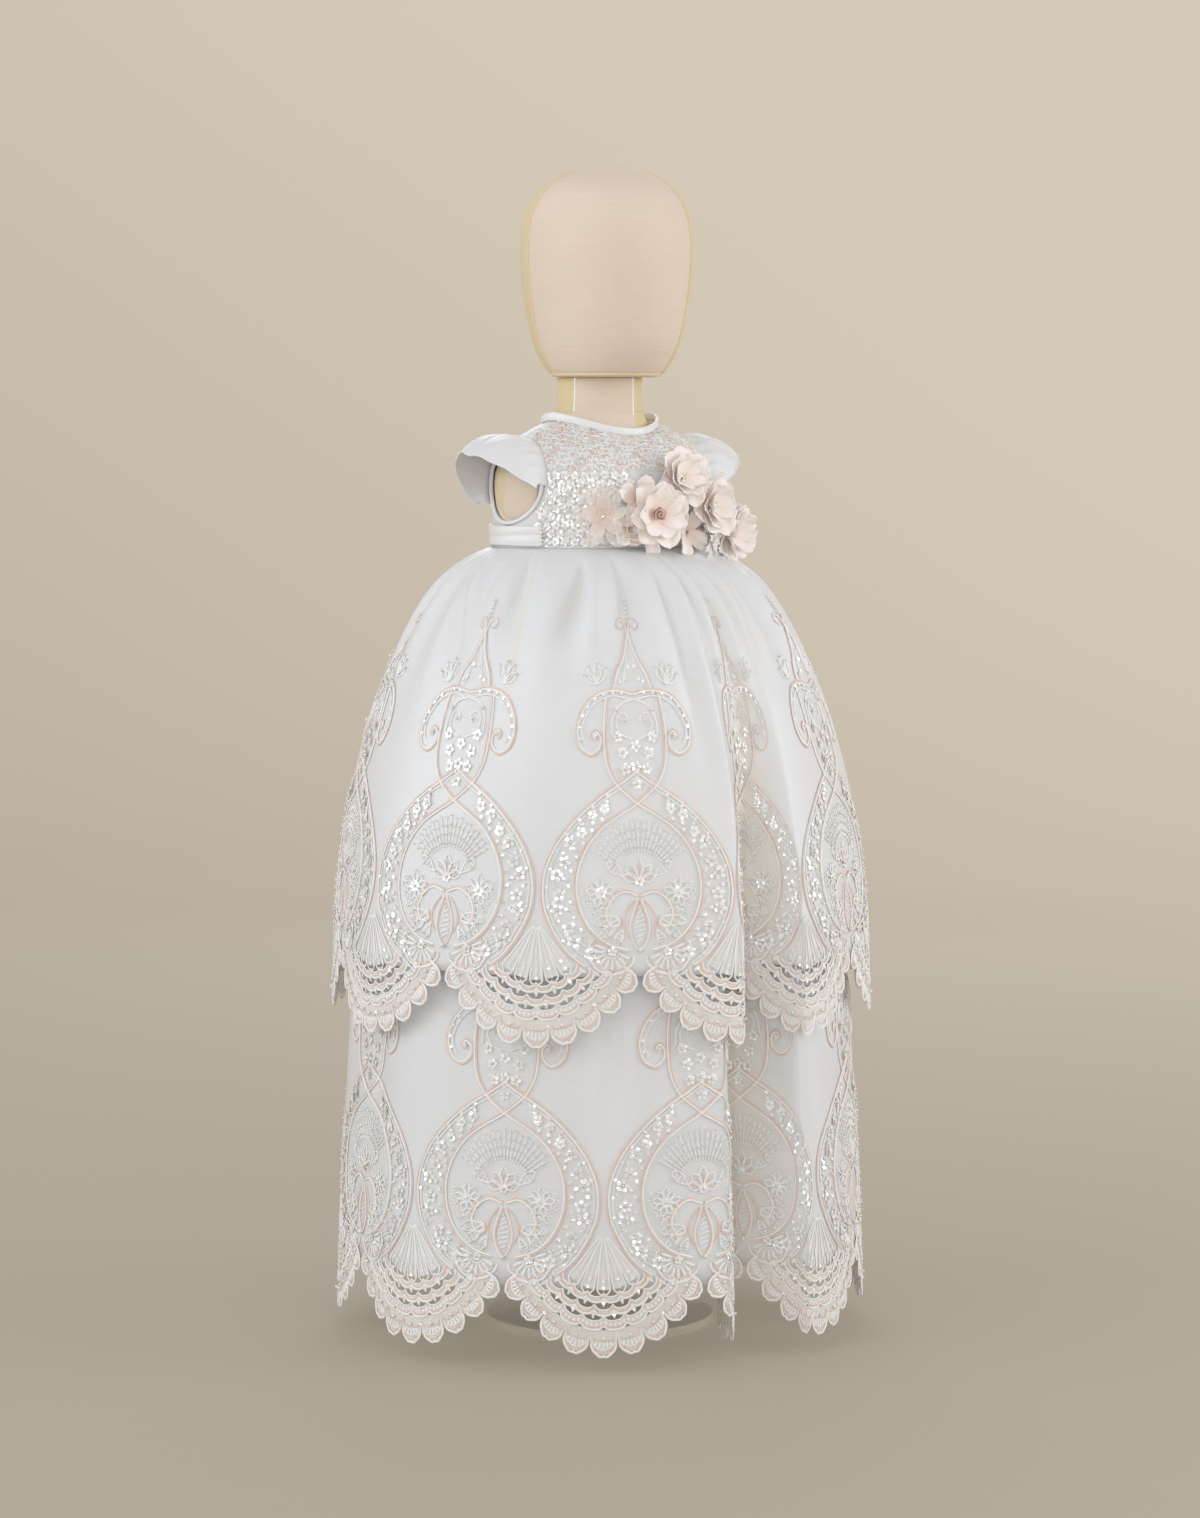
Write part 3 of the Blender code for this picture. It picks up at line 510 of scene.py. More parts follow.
def thread_material(name, base, deep, roughness, twist=0.0, **sockets):
    """Corded thread: a colour that drifts, with the twist as a fine wave along the cord."""
    made, tree, shader, places = start_material(name, roughness, **sockets)
    feed(tree, shader["Base Color"], drift(tree, places, 55.0, base, deep))
    if twist:
        bump_to(tree, shader, weave(tree, places, twist, 0.6)["Height"], 0.5, 0.0005)
    return made


def net_material(name, base, deep):
    """Lace ground: threads of net, clear between them, thicker where the 'dense' attribute is high."""
    made, tree, shader, places = start_material(name, 0.6)
    feed(tree, shader["Base Color"], drift(tree, places, 30.0, base, deep))
    packed = math_node(tree, "POWER", attribute(tree, "dense"), 2.6)
    thread = math_node(tree, "MULTIPLY_ADD", packed, -0.354, 0.999)
    inputs = {"Place": places["UV"], "Cells": 55.0, "Thread": thread}
    feed(tree, shader["Alpha"], node(tree, "ShaderNodeGroup", inputs, node_tree=NET).outputs["Mask"])
    return made


def linen_material(name, base, deep, threads=520.0):
    """Plain woven linen over a padded form."""
    made, tree, shader, places = start_material(name, 0.85, Sheen_Weight=0.15)
    height = weave(tree, places, threads, 1.0)["Height"]
    share = math_node(tree, "MULTIPLY", height, 0.28)
    tone = drift(tree, places, 14.0, base, deep)
    feed(tree, shader["Base Color"], blend_node(tree, share, tone, (0.78, 0.70, 0.58), "MULTIPLY"))
    bump_to(tree, shader, height, 0.35, 0.0006)
    return made


SATIN = satin_material("satin_dupion", SATIN_WHITE, (0.79, 0.79, 0.80), 0.33)
SATIN_TRIM = satin_material("satin_trim", (0.85, 0.85, 0.85), (0.82, 0.82, 0.82), 0.30)
LINEN = linen_material("form_linen", LINEN_PEACH, (0.79, 0.665, 0.545))
GUSSET = linen_material("form_gusset", LINEN_GOLD, (0.77, 0.635, 0.385), 700.0)
WHITE_CORD = thread_material("lace_cord", CORD_WHITE, (0.97, 0.955, 0.93), 0.38, 700.0, Sheen_Weight=0.2)
BLUSH_CORD = thread_material("blush_thread", BLUSH, (0.93, 0.80, 0.73), 0.4, 900.0)
LACE_NET = net_material("lace_net", LACE_WHITE, (0.94, 0.90, 0.85))
SEQUIN = thread_material("sequins", (0.98, 0.975, 0.965), (0.97, 0.955, 0.93), 0.2,
                         Specular_IOR_Level=0.9, Coat_Weight=1.0, Coat_Roughness=0.06, Metallic=0.15)
BEADS = thread_material("pearl_beads", PEARL, (0.80, 0.76, 0.66), 0.22, Coat_Weight=0.6, Coat_Roughness=0.1)


def skirt_shell(name, node_name, skirt, creases, columns, rows):
    """One gathered tube of satin on its solid's face, with painted shade, a warm tint, deep in its folds and
    creases, and lines of painted light.
    """
    first, last = skirt["fold"][0], skirt["fold"][1]
    folded = np.linspace(first, last, columns // 6, endpoint=False)
    plain = np.linspace(last, first + REPEATS, columns - columns // 6, endpoint=False)
    turns = np.concatenate([folded, plain])
    down = np.linspace(0, 1, rows)
    heights = (skirt["hem"] + (skirt["top"] - skirt["hem"]) * (1 - down ** 1.35))[::-1]
    surface = skirt_surface(skirt, creases)
    t, h = np.meshgrid(turns, heights)
    points = surface(t, h)
    _, drawn = fold_place(skirt["fold"], t)
    # Painted shade: a warm tint in the troughs of the creases and inside the deep front fold
    depth = crease_field([c for c in creases if c[5] > 0], t, h)
    inner = np.clip(drawn * ease((skirt["top"] - h) / 200.0), 0, 1)
    tint_and_painted_light = np.clip(0.02 * depth ** 1.2 + 0.5 * inner, 0, 0.5)
    # Painted light: warm lines where light comes through a fold's edge
    for turn, drift, top, low, strength in PAINTED_GLOW_LINES:
        share = np.clip((top - h) / (top - low), 0, 1)
        away = (t - turn - drift * share) * REPEAT_LENGTH * 0.75
        tint_and_painted_light = tint_and_painted_light + strength * np.sin(math.pi * share) ** 0.6 * np.exp(-((away / 2.6) ** 2))
    tint_and_painted_light = np.clip(tint_and_painted_light, 0, 0.8)
    uv = grid_uv(turns * REPEAT_LENGTH, heights, (first + REPEATS) * REPEAT_LENGTH)
    piece = put(name, points, grid_quads(rows, columns, wrap=True), SATIN, "satin", uv, {"tint_and_painted_light": tint_and_painted_light}, 0.7)
    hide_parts(node_name)
    return piece


def main_skirts():
    over = skirt_shell("overskirt_satin", "overskirt", OVER, OVER_CREASES, 420, 54)
    under = skirt_shell("underskirt_satin", "underskirt", UNDER, UNDER_CREASES, 330, 50)


# Flat charts: x is across in mm from an axis, h is height in mm above the lace's tip
STROKE_STEP = 3.2
OUTER_STRAND = ((0, 214), (-12, 206), (-30, 195), (-50, 178), (-66, 157), (-74.5, 134), (-74, 112),
                (-66, 92), (-55, 76), (-42, 65))
INNER_STRAND = ((-22, 272), (-24.5, 254), (-25, 235), (-22, 215), (-15, 203), (-7, 196), (2, 189),
                (14, 182), (30, 171), (43, 154), (49.5, 133), (47, 110), (38, 93), (25, 82), (10, 77))
ARM_STRAND = ((0, 271), (-18, 274), (-36, 269), (-48, 255), (-51, 240), (-46, 228), (-37, 224),
              (-29, 230), (-29, 240), (-34.5, 243.5), (-38, 239), (-35, 235.5))
ARM_INNER = ((-4, 266), (-18, 268.5), (-33, 264), (-43, 252), (-45.5, 240), (-42, 233))
NECK_ARCH = ((-20, 240), (-19, 252), (-12, 262), (0, 266))
NECK_SCROLL = ((-3, 236), (-12, 240), (-16, 249), (-11, 256), (-5, 252), (-8, 247))
TENT = ((-19, 275), (-15, 286), (-8, 297), (-4, 308), (0, 319))
TENT_RIB = ((-9, 275), (-6, 288), (-2.5, 300))
VOLUTE = ((0, 316), (-2, 323), (-7, 326), (-11, 322), (-8, 317.5), (-5, 320))
SCROLL = ((-1, 121), (-12, 124), (-23, 117), (-27, 104), (-21, 95), (-14, 98), (-16, 105))
SCROLL_LOW = ((-4, 116), (-10, 108), (-12, 97), (-8, 89))
RAY_CENTRE, RAY_IN, RAY_OUT = 132.0, 21.0, 44.0
RAYS, RAY_SPREAD_DEG = 19, 58.0
PALMETTE_CENTRE = 131.0
LEAVES = (
    (-12, 134, 140, 17, 3.6), (-15, 103, 190, 21, 3.8), (-17, 98, 214, 17, 3.4), (-13, 94, 243, 13, 3.0),
)
SIDE_FLOWER = (-30.0, 122.0)
SHELL_CENTRE, SHELL_RADIUS = (-21.0, 78.0), 17.0
SIDE_SHELL = (-32.0, 277.0)

FAN_CENTRE = 100.0
FAN_EDGE = ((0, 17, 37, 60, 75), (96, 95.2, 90.5, 89.5, 88.0))
STICKS, STICK_SPREAD_DEG, STICK_LENGTH = 5, 32.0, 44.0
# Scallop rows of the fan: radius, half spread in degrees, scallops, bulge, depth. Those over BARRED hold bars
ARCADES = ((50.0, 44.0, 6, 3.4, 4.2), (59.6, 49.0, 7, 3.7, 4.4), (71.0, 56.0, 8, 3.6, 7.0))
BARRED = 6.0
LOBES, LOBE_SPREAD_DEG, LOBE_ROOT = 9, 63.0, 78.0


def reached(line):
    """Length along a flat line up to each of its points."""
    return np.concatenate([[0], np.cumsum(np.linalg.norm(np.diff(line, axis=0), axis=1))])


def smooth_line(points, step=STROKE_STEP):
    """A curve through a few given points: x and h each follow a cubic along the chord length."""
    points = np.asarray(points, float)
    reach = reached(points)
    count = max(3, int(round(reach[-1] / step)) + 1)
    at = np.linspace(0, reach[-1], count)
    return np.stack([along(reach, points[:, 0], at), along(reach, points[:, 1], at)], -1)


def sideways(line):
    """Unit vectors across a flat line, to its left."""
    way = unit(np.gradient(line, axis=0))
    return np.stack([-way[:, 1], way[:, 0]], -1)


def beside(line, gap):
    return line + sideways(line) * gap


def flipped(line):
    return np.asarray(line, float) * (-1, 1)


def heading(degrees):
    """A unit vector on a flat chart: 0 points across to +x, 90 points up."""
    turn = math.radians(degrees)
    return np.array([math.cos(turn), math.sin(turn)])


def teardrop(x, h, degrees, length, half_width, steps=11):
    """A leaf outline from its root: the half width follows a sine that peaks past the middle."""
    share = np.linspace(0, 1, steps)
    wide = half_width * np.sin(math.pi * share ** 1.25)
    left, right = np.stack([length * share, wide], -1), np.stack([length * share[::-1], -wide[::-1]], -1)
    way = heading(degrees)
    return np.concatenate([left, right[1:]]) @ np.array([way, (-way[1], way[0])]) + (x, h)


def fan_point(degrees, radius):
    """A place in a fan, from the angle away from straight down and the radius at the axis."""
    degrees, radius = np.asarray(degrees, float), np.asarray(radius, float)
    stretch = np.interp(np.abs(degrees), *FAN_EDGE) / FAN_EDGE[1][0]
    swing = np.radians(degrees)
    return np.stack([radius * stretch * np.sin(swing), FAN_CENTRE - radius * stretch * np.cos(swing)], -1)


def scallops(spread, count, radius, bulge, per=6, picots=0):
    """A row of round arcs side by side: the radius swells in half a circle over each, with fine picots."""
    share = np.linspace(0, count, count * per + 1)
    inside = share - np.minimum(np.floor(share), count - 1)
    arch = np.sqrt(np.clip(1 - (2 * inside - 1) ** 2, 0, 1))
    ripple = 0.9 * np.abs(np.sin(math.pi * inside * picots)) if picots else 0
    return fan_point(-spread + 2 * spread * share / count, radius + bulge * arch + ripple)


class Chart:
    """The strokes, grounds, sequins and beads of one repeat, all in flat millimetres.

    In a mirrored chart each one is drawn on both sides of the axis, unless both says otherwise.
    """

    def __init__(self, mirrored):
        self.mirrored = mirrored
        self.white, self.blush, self.grounds, self.sequins, self.beads = [], [], [], [], []

    def hands(self, both):
        """1 for a thing drawn as it is, and -1 for its mirror image."""
        return (1, -1) if (self.mirrored if both is None else both) else (1,)

    def cord(self, line, width=1.5, blush=False, both=None):
        target = self.blush if blush else self.white
        for hand in self.hands(both):
            target.append((np.asarray(line, float) * (hand, 1), width))

    def double(self, line, gap=1.7, white=1.6, blush=1.15, both=None):
        """A blush thread with a white cord beside it."""
        self.cord(line, blush, True, both)
        self.cord(beside(line, gap), white, False, both)

    def ground(self, a, b, rows, both=None, dense=0.3):
        """Net between two flat lines. dense runs from 0, a bare veil, to 1, nearly solid."""
        share = np.linspace(0, 1, rows)[:, None, None]
        grid = np.asarray(a) * (1 - share) + np.asarray(b) * share
        for hand in self.hands(both):
            self.grounds.append((grid * (hand, 1), dense))

    def spot(self, kind, places, radius, both=None):
        for x, h in np.atleast_2d(places):
            for hand in self.hands(both):
                kind.append((hand * x, h, radius))

    def rosette(self, x, h, petals=5, ring=3.3, sequin=1.95, both=None):
        """Sequins in a ring round a bead."""
        turn = round_turn(petals) + 0.07 * (x + h)
        places = np.stack([x + ring * np.cos(turn), h + ring * np.sin(turn)], -1)
        self.spot(self.sequins, places, sequin, both)
        self.spot(self.beads, [(x, h)], 1.15, both)


def even(line, count):
    """The same flat line with its points spaced evenly."""
    line = np.asarray(line, float)
    reach = reached(line)
    at = np.linspace(0, reach[-1], count)
    return np.stack([np.interp(at, reach, line[:, 0]), np.interp(at, reach, line[:, 1])], -1)


def rungs(outer, inner, count, pick):
    """Numbered pairs of places that face each other on two lines, evenly spaced along each."""
    return enumerate(zip(even(outer, count)[pick], even(inner, count)[pick]))


def medallion_chart(with_tent):
    """The ogee medallion and the spire on it, drawn for its left half and mirrored."""
    chart = Chart(True)
    outer, inner = smooth_line(OUTER_STRAND), smooth_line(INNER_STRAND)
    chart.double(outer, 1.7)
    chart.cord(beside(outer, 4.6), 1.0)
    chart.double(inner, -1.7)
    crossing = flipped(inner[len(inner) // 2 - 3:])
    band_inner = even(crossing[crossing[:, 1] < 190], 30)
    band_outer = even(outer[outer[:, 1] < 207], 30)
    chart.ground(band_outer, band_inner, 5)
    for i, (a, b) in rungs(band_outer, band_inner, 13, slice(1, -1)):
        place = a + (b - a) * (0.45 + 0.06 * (-1) ** i)
        chart.rosette(*place, ring=3.4 if i > 2 else 2.6)
    for _, (a, b) in rungs(band_outer, band_inner, 25, slice(2, -1, 2)):
        chart.spot(chart.sequins, [a + (b - a) * 0.16, a + (b - a) * 0.80], 1.5)
        chart.spot(chart.beads, [a + (b - a) * 0.88], 0.9)
    for i, (a, b) in rungs(band_outer, band_inner, 26, slice(2, -1, 2)):
        chart.spot(chart.sequins, [a + (b - a) * 0.33, a + (b - a) * 0.64], 1.7)
        chart.spot(chart.beads, [a + (b - a) * (0.26 + 0.46 * (i % 2))], 1.05)
    chart.ground(even(band_inner, 16), even(flipped(band_inner), 16), 9, both=False, dense=0.0)
    draw_spire(chart, inner, with_tent)
    draw_inside(chart)
    draw_shells(chart)
    return chart


def draw_spire(chart, inner, with_tent):
    """The spire: its neck and two scrolled arms, and on the upper tier a tent with volutes."""
    neck = inner[(inner[:, 0] < -4) & (inner[:, 1] > 192)]
    chart.ground(even(neck, 10), even(flipped(neck), 10), 6, both=False)
    for x, h in ((0, 203), (0, 216), (-11, 226), (0, 231), (-9, 214), (-15, 238)):
        chart.rosette(x, h, 5, 2.9, 1.8, both=x != 0)
    chart.double(smooth_line(ARM_STRAND, 2.6), 1.6)
    chart.cord(smooth_line(ARM_INNER), 1.2)
    arm = smooth_line(ARM_STRAND, 3.2)
    arm_outer, arm_inner = even(arm[: len(arm) // 2 + 2], 12), even(smooth_line(ARM_INNER), 12)
    chart.ground(arm_outer, arm_inner, 3)
    chart.spot(chart.sequins, even(0.5 * (arm_outer + arm_inner), 9)[1:], 1.5)
    chart.cord(smooth_line(NECK_ARCH), 1.4)
    chart.cord(smooth_line(NECK_SCROLL, 2.2), 1.3)
    chart.spot(chart.beads, [(-8, 250), (-16, 258), (-34, 239)], 1.5)
    if with_tent:
        tent = smooth_line(TENT)
        chart.double(tent, -1.6)
        chart.ground(even(tent, 8), even(flipped(tent), 8), 4, both=False)
        chart.cord(smooth_line(TENT_RIB), 1.0)
        chart.spot(chart.sequins, [(-7, 281), (-3, 290), (-11, 279)], 1.6)
        chart.double(smooth_line(VOLUTE, 2.0), 1.2, 1.0, 1.0)
        chart.spot(chart.beads, [(0, 326 + 3.1 * i) for i in range(5)], 1.45, both=False)
        for degrees in (62, 92, 122, 150):
            leaf = teardrop(*SIDE_SHELL, degrees, 17 - 0.05 * abs(degrees - 100), 3.2)
            chart.cord(leaf, 1.2)
            chart.spot(chart.beads, [leaf[len(leaf) // 2]], 1.2)


def draw_inside(chart):
    """Inside the medallion: a ray crown, a palmette, two side flowers, scrolls, leaves and a drop."""
    for i in range(RAYS):
        swing = math.radians(-RAY_SPREAD_DEG + 2 * RAY_SPREAD_DEG * i / (RAYS - 1))
        way = np.array([math.sin(swing), math.cos(swing)])
        reach = RAY_OUT - 4.0 * abs(math.sin(swing)) + 1.2 * (i % 2)
        line = (0, RAY_CENTRE) + way * np.linspace(RAY_IN, reach, 4)[:, None]
        chart.cord(line, 1.1, both=False)
        beads = (0, RAY_CENTRE) + way * np.linspace(RAY_IN, reach, 8)[1::2, None]
        chart.spot(chart.beads, beads, 0.85, both=False)
    for degrees, length in ((90, 17), (52, 15), (128, 15), (14, 13), (166, 13)):
        chart.cord(teardrop(0, PALMETTE_CENTRE, degrees, length, 3.3), 1.2, both=False)
        chart.cord(teardrop(0, PALMETTE_CENTRE, degrees, length * 0.68, 1.7), 0.9, True, both=False)
    chart.rosette(0, PALMETTE_CENTRE, 6, 2.7, 1.6, both=False)
    for i in range(9):
        petal = teardrop(*SIDE_FLOWER, 40 * i + 12, 11.5 - 1.5 * (i % 2), 2.5)
        chart.cord(petal, 1.15)
        chart.spot(chart.beads, [petal[len(petal) // 2]], 0.8)
    chart.rosette(*SIDE_FLOWER, 6, 3.0, 1.7)
    for i in range(7):
        start = SIDE_FLOWER + 12.5 * heading(150 + 26 * i)
        chart.cord(curl(start[0], start[1], 2.6, 50 * i, 1.0, 9), 0.9)
    chart.double(smooth_line(SCROLL, 2.4), 1.5)
    chart.cord(smooth_line(SCROLL_LOW), 1.2, True)
    for x, h, degrees, length, half in LEAVES:
        leaf = teardrop(x, h, degrees, length, half)
        chart.cord(leaf, 1.2)
        chart.spot(chart.beads, even(leaf, 7)[2:5:2], 0.9)
        way = heading(degrees)
        for share in (0.35, 0.55, 0.75):
            middle = (x, h) + length * share * way
            across = np.array([-way[1], way[0]]) * half * math.sin(math.pi * share ** 1.25)
            chart.cord(np.array([middle - across, middle, middle + across]), 0.8)
    drop = teardrop(0, 117, -90, 38, 6.0, 15)
    chart.double(drop, 1.4, 1.3, 1.0, both=False)
    for h in np.arange(86, 112, 3.6):
        half = 6.0 * math.sin(math.pi * ((117 - h) / 38) ** 1.25) - 1.6
        chart.cord(np.array([(-half, h - 1.2), (0, h), (half, h + 1.2)]), 1.0, both=False)
    for degrees in (205, 220, 235, 250):
        way = heading(degrees) * (0.86, 1)
        start = (-3.0, 124.0) + way * 32
        chart.cord(start + way * np.linspace(0, 8, 3)[:, None], 1.0)
        chart.spot(chart.beads, [start + way * 9.5], 1.1)


def draw_shells(chart):
    """The two shells at the medallion's foot."""
    shell = np.array(SHELL_CENTRE)
    swing = np.radians(np.linspace(150, 345, 20))
    round_way = np.stack([np.cos(swing), np.sin(swing)], -1)
    ripple = 1.0 * np.abs(np.sin(np.linspace(0, 6 * math.pi, 20)))[:, None]
    chart.cord(shell + round_way * (SHELL_RADIUS + ripple), 1.6)
    chart.cord(shell + round_way * (SHELL_RADIUS - 2.2), 1.1, True)
    chart.cord(shell + round_way * 5.5, 1.2)
    chart.ground(shell + round_way * SHELL_RADIUS, shell + round_way * 5.0, 4, dense=0.5)
    for degrees in np.linspace(160, 335, 9):
        chart.cord(shell + heading(degrees) * np.linspace(6.5, SHELL_RADIUS - 3, 3)[:, None], 1.9)
    chart.rosette(*SHELL_CENTRE, 5, 2.4, 1.5)
    chart.spot(chart.beads, [(0, 79)], 2.2, both=False)


def fan_chart():
    """The fan between two medallions: sticks, scallop rows with gaps between, and lobes along the edge."""
    chart = Chart(False)
    for degrees in np.linspace(-STICK_SPREAD_DEG, STICK_SPREAD_DEG, STICKS):
        share = np.linspace(0, 1, 9)
        half = 0.6 + 4.3 * share ** 0.9
        radius = 4 + (STICK_LENGTH - 4) * share
        lean = np.degrees(np.arctan2(half, np.maximum(radius, 6)))
        shoulder = STICK_LENGTH + 2.4
        tip = fan_point([degrees + 4.2, degrees, degrees - 4.2], [shoulder, STICK_LENGTH + 4.4, shoulder])
        left, right = fan_point(degrees + lean, radius), fan_point(degrees - lean, radius)
        chart.cord(np.concatenate([left, tip, right[::-1]]), 1.3)
        chart.cord(fan_point(degrees + 0 * share[2:], radius[2:]), 1.0)
        chart.ground(left, right, 3, dense=0.95)
        chart.spot(chart.sequins, fan_point([degrees] * 2, [STICK_LENGTH - 2, STICK_LENGTH - 8]), 1.5)
    for row, (radius, spread, count, bulge, depth) in enumerate(ARCADES):
        arc = scallops(spread, count, radius, bulge)
        low = scallops(spread, count, radius - depth, bulge)
        chart.cord(arc, 1.8)
        chart.cord(scallops(spread, count, radius - 1.8, bulge), 1.0, True)
        chart.cord(low, 1.3)
        chart.ground(arc, low, 3, dense=1.0)
        bars = 5 if depth > BARRED else 0
        across = (np.arange(count * bars) + 0.5) / max(bars, 1)
        inside = across - np.floor(across)
        arch = bulge * np.sqrt(np.clip(1 - (2 * inside - 1) ** 2, 0, 1))
        for share, rise in zip(across, arch):
            degrees = -spread + 2 * spread * share / count
            chart.cord(fan_point([degrees] * 2, [radius + rise - depth + 1.2, radius + rise - 2.9]), 2.3)
        if row < len(ARCADES) - 1:
            for share in range(count + 1):
                degrees = -spread + 2 * spread * share / count
                chart.cord(fan_point([degrees] * 2, [radius, radius + 6.0]), 1.5)
                chart.spot(chart.sequins, fan_point([degrees], [radius + 3.0]), 1.7)
    edge = scallops(LOBE_SPREAD_DEG, LOBES, LOBE_ROOT, 16.4, 14, 4)
    chart.cord(edge, 1.9)
    chart.cord(scallops(LOBE_SPREAD_DEG, LOBES, LOBE_ROOT - 0.4, 14.0, 10), 1.1, True)
    chart.cord(scallops(LOBE_SPREAD_DEG, LOBES, LOBE_ROOT - 0.4, 11.8, 8), 1.2)
    chart.cord(scallops(LOBE_SPREAD_DEG, LOBES, LOBE_ROOT, 5.0, 6), 1.1, True)
    outer = scallops(LOBE_SPREAD_DEG, LOBES, LOBE_ROOT, 15.6, 8)
    chart.ground(outer, scallops(LOBE_SPREAD_DEG, LOBES, LOBE_ROOT - 4, 0.0, 8), 4, dense=0.9)
    step = 2 * LOBE_SPREAD_DEG / LOBES
    for lobe in range(LOBES):
        middle = -LOBE_SPREAD_DEG + step * (lobe + 0.5)
        for lean, reach in ((-0.30, 8.6), (-0.15, 10.4), (0, 11.0), (0.15, 10.4), (0.30, 8.6)):
            leans = [middle + lean * step * 0.72, middle + lean * step]
            chart.cord(fan_point(leans, [LOBE_ROOT + 5.4, LOBE_ROOT + reach]), 2.0)
        chart.spot(chart.sequins, fan_point([middle - step / 2], [LOBE_ROOT + 1.5]), 1.6)
        chart.spot(chart.beads, fan_point([middle], [LOBE_ROOT + 2.4]), 1.5)
    side = np.linspace(44, 76, 8)
    chart.ground(fan_point(side, 12 + 0 * side), fan_point(side, 70 + 0 * side), 6, both=True)
    for degrees, radius in ((50, 40), (56, 48), (50, 52), (60, 38), (64, 50), (57, 58)):
        chart.spot(chart.sequins, fan_point([degrees], [radius]), 1.6, both=True)
    for degrees in (49, 54, 59, 64, 69):
        chart.cord(fan_point([degrees] * 4, np.linspace(30, 70, 4)), 0.8, both=True)
    return chart


def stroke_arrays(strokes):
    """Flat points of all cords: left edge, crest and right edge at each place along, with their lifts."""
    flat, lift, uv, faces, start = [], [], [], [], 0
    for line, width in strokes:
        across = sideways(line) * width / 2
        flat.append(np.stack([line + across, line, line - across], 1).reshape(-1, 2))
        lift.append(np.tile([0.0, width * 0.40, 0.0], len(line)))
        over = np.tile([0, width / 2, width], len(line))
        uv.append(np.stack([np.repeat(reached(line), 3), over], -1) * UV_PER_MM)
        faces.append(grid_quads(len(line), 3, first=start))
        start += 3 * len(line)
    return np.concatenate(flat), np.concatenate(lift), np.concatenate(uv), np.concatenate(faces)


def spot_arrays(spots, rings, sides, tilt, seed):
    """Flat points of small discs or beads: rings of (share of radius, lift as a share), closed at the top."""
    table, turn = np.array(spots), round_turn(sides)
    shares, rises = np.array(rings).T
    dx = np.append((shares[:, None] * np.cos(turn)).ravel(), 0)
    dy = np.append((shares[:, None] * np.sin(turn)).ravel(), 0)
    up = np.append(np.repeat(rises, sides), rises[-1] + 0.12)
    lean = np.random.default_rng(seed).uniform(-tilt, tilt, (len(table), 2))
    radius = table[:, 2:3]
    flat = np.stack([table[:, :1] + radius * dx, table[:, 1:2] + radius * dy], -1)
    lift = radius * (up + lean[:, :1] * dx + lean[:, 1:] * dy) + 0.5
    last, top = (len(rings) - 1) * sides, len(dx) - 1
    cap = [(last + i, last + (i + 1) % sides, top) for i in range(sides)]
    one = np.concatenate([triangles(grid_quads(len(rings), sides, wrap=True)), cap])
    faces = (one[None] + np.arange(len(table))[:, None, None] * len(dx)).reshape(-1, 3)
    return flat.reshape(-1, 2), lift.ravel(), faces


def lay(surface, gap, tip, axes, flat, lift, faces):
    """Flat points laid on the skirt once for each axis, with their faces."""
    turns = np.asarray(axes, float)[:, None] + flat[None, :, 0] / REPEAT_LENGTH
    heights = np.broadcast_to(tip + flat[None, :, 1], turns.shape)
    points = off(surface, turns, heights, gap + np.broadcast_to(lift, turns.shape))
    shifts = np.arange(len(axes))[:, None, None] * len(flat)
    return points.reshape(-1, 3), (faces[None] + shifts).reshape(-1, faces.shape[1])


SEQUIN_RINGS = ((1.0, 0.0), (0.45, -0.10))
BEAD_RINGS = ((0.75, 0.0), (1.0, 0.55), (0.62, 1.25))
# Each lace comes as two stretches, from one place to another in repeats
LACE_HALVES = (("right", 0.5, 5.5), ("left", 5.5, 9.5))
# How far each tier's net lies below the cords
NET_SINK = 0.4


def sewn_trims(prefix, charts, tilt, seed):
    """A lace's cords, blush thread, sequins and beads, each as one piece.

    charts holds pairs: a chart, and the function that lays its flat points on the cloth.
    """
    trims = []
    for label, material, pick in (("cords", WHITE_CORD, "white"), ("blush_thread", BLUSH_CORD, "blush")):
        parts = []
        for chart, lay_down in charts:
            flat, lift, uv, faces = stroke_arrays(getattr(chart, pick))
            points, faces = lay_down(flat, lift, faces)
            parts.append((points, faces, np.tile(uv, (len(points) // len(flat), 1))))
        points, faces, uv = joined(parts)
        trims.append(put(f"{prefix}_{label}", points, faces, material, "lace", uv))
    for label, material, rings, sides, lean in (
        ("sequins", SEQUIN, SEQUIN_RINGS, 7, tilt), ("beads", BEADS, BEAD_RINGS, 6, 0.0),
    ):
        parts = []
        for number, (chart, lay_down) in enumerate(charts):
            parts.append(lay_down(*spot_arrays(getattr(chart, label), rings, sides, lean, seed + number)))
        trims.append(put(f"{prefix}_{label}", *joined(parts), material, "lace"))
    return trims


def edging_lace(tier, skirt, creases, with_tent):
    """One tier's lace: cords, blush thread, sequins and beads, and its net ground on each half's solid."""
    surface, tip, gap = skirt_surface(skirt, creases), skirt["tip"], skirt["lace_gap"]
    charts = ((medallion_chart(with_tent), 0.5), (fan_chart(), 0.0))
    laid = [(chart, partial(lay, surface, gap, tip, np.arange(REPEATS) + offset)) for chart, offset in charts]
    trims = sewn_trims(f"{tier}_lace", laid, 0.22, 0)
    for half, first, last in LACE_HALVES:
        parts = []
        for chart, offset in charts:
            axes = [k + offset for k in range(-1, 2 * REPEATS) if first <= k + offset < last]
            for grid, dense in chart.grounds:
                rows, columns, _ = grid.shape
                flat = grid.reshape(-1, 2)
                quads = grid_quads(rows, columns)
                points, faces = lay(surface, gap - NET_SINK, tip, axes, flat, 0 * flat[:, 0], quads)
                uv = np.tile(flat * UV_PER_MM, (len(axes), 1))
                parts.append((points, faces, uv, np.full(len(points), dense)))
        points, faces, uv, dense = joined(parts)
        name = f"{tier}_lace_{half}"
        net = put(name + "_net", points, faces, LACE_NET, "lace", uv, {"dense": dense})
        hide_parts(name)


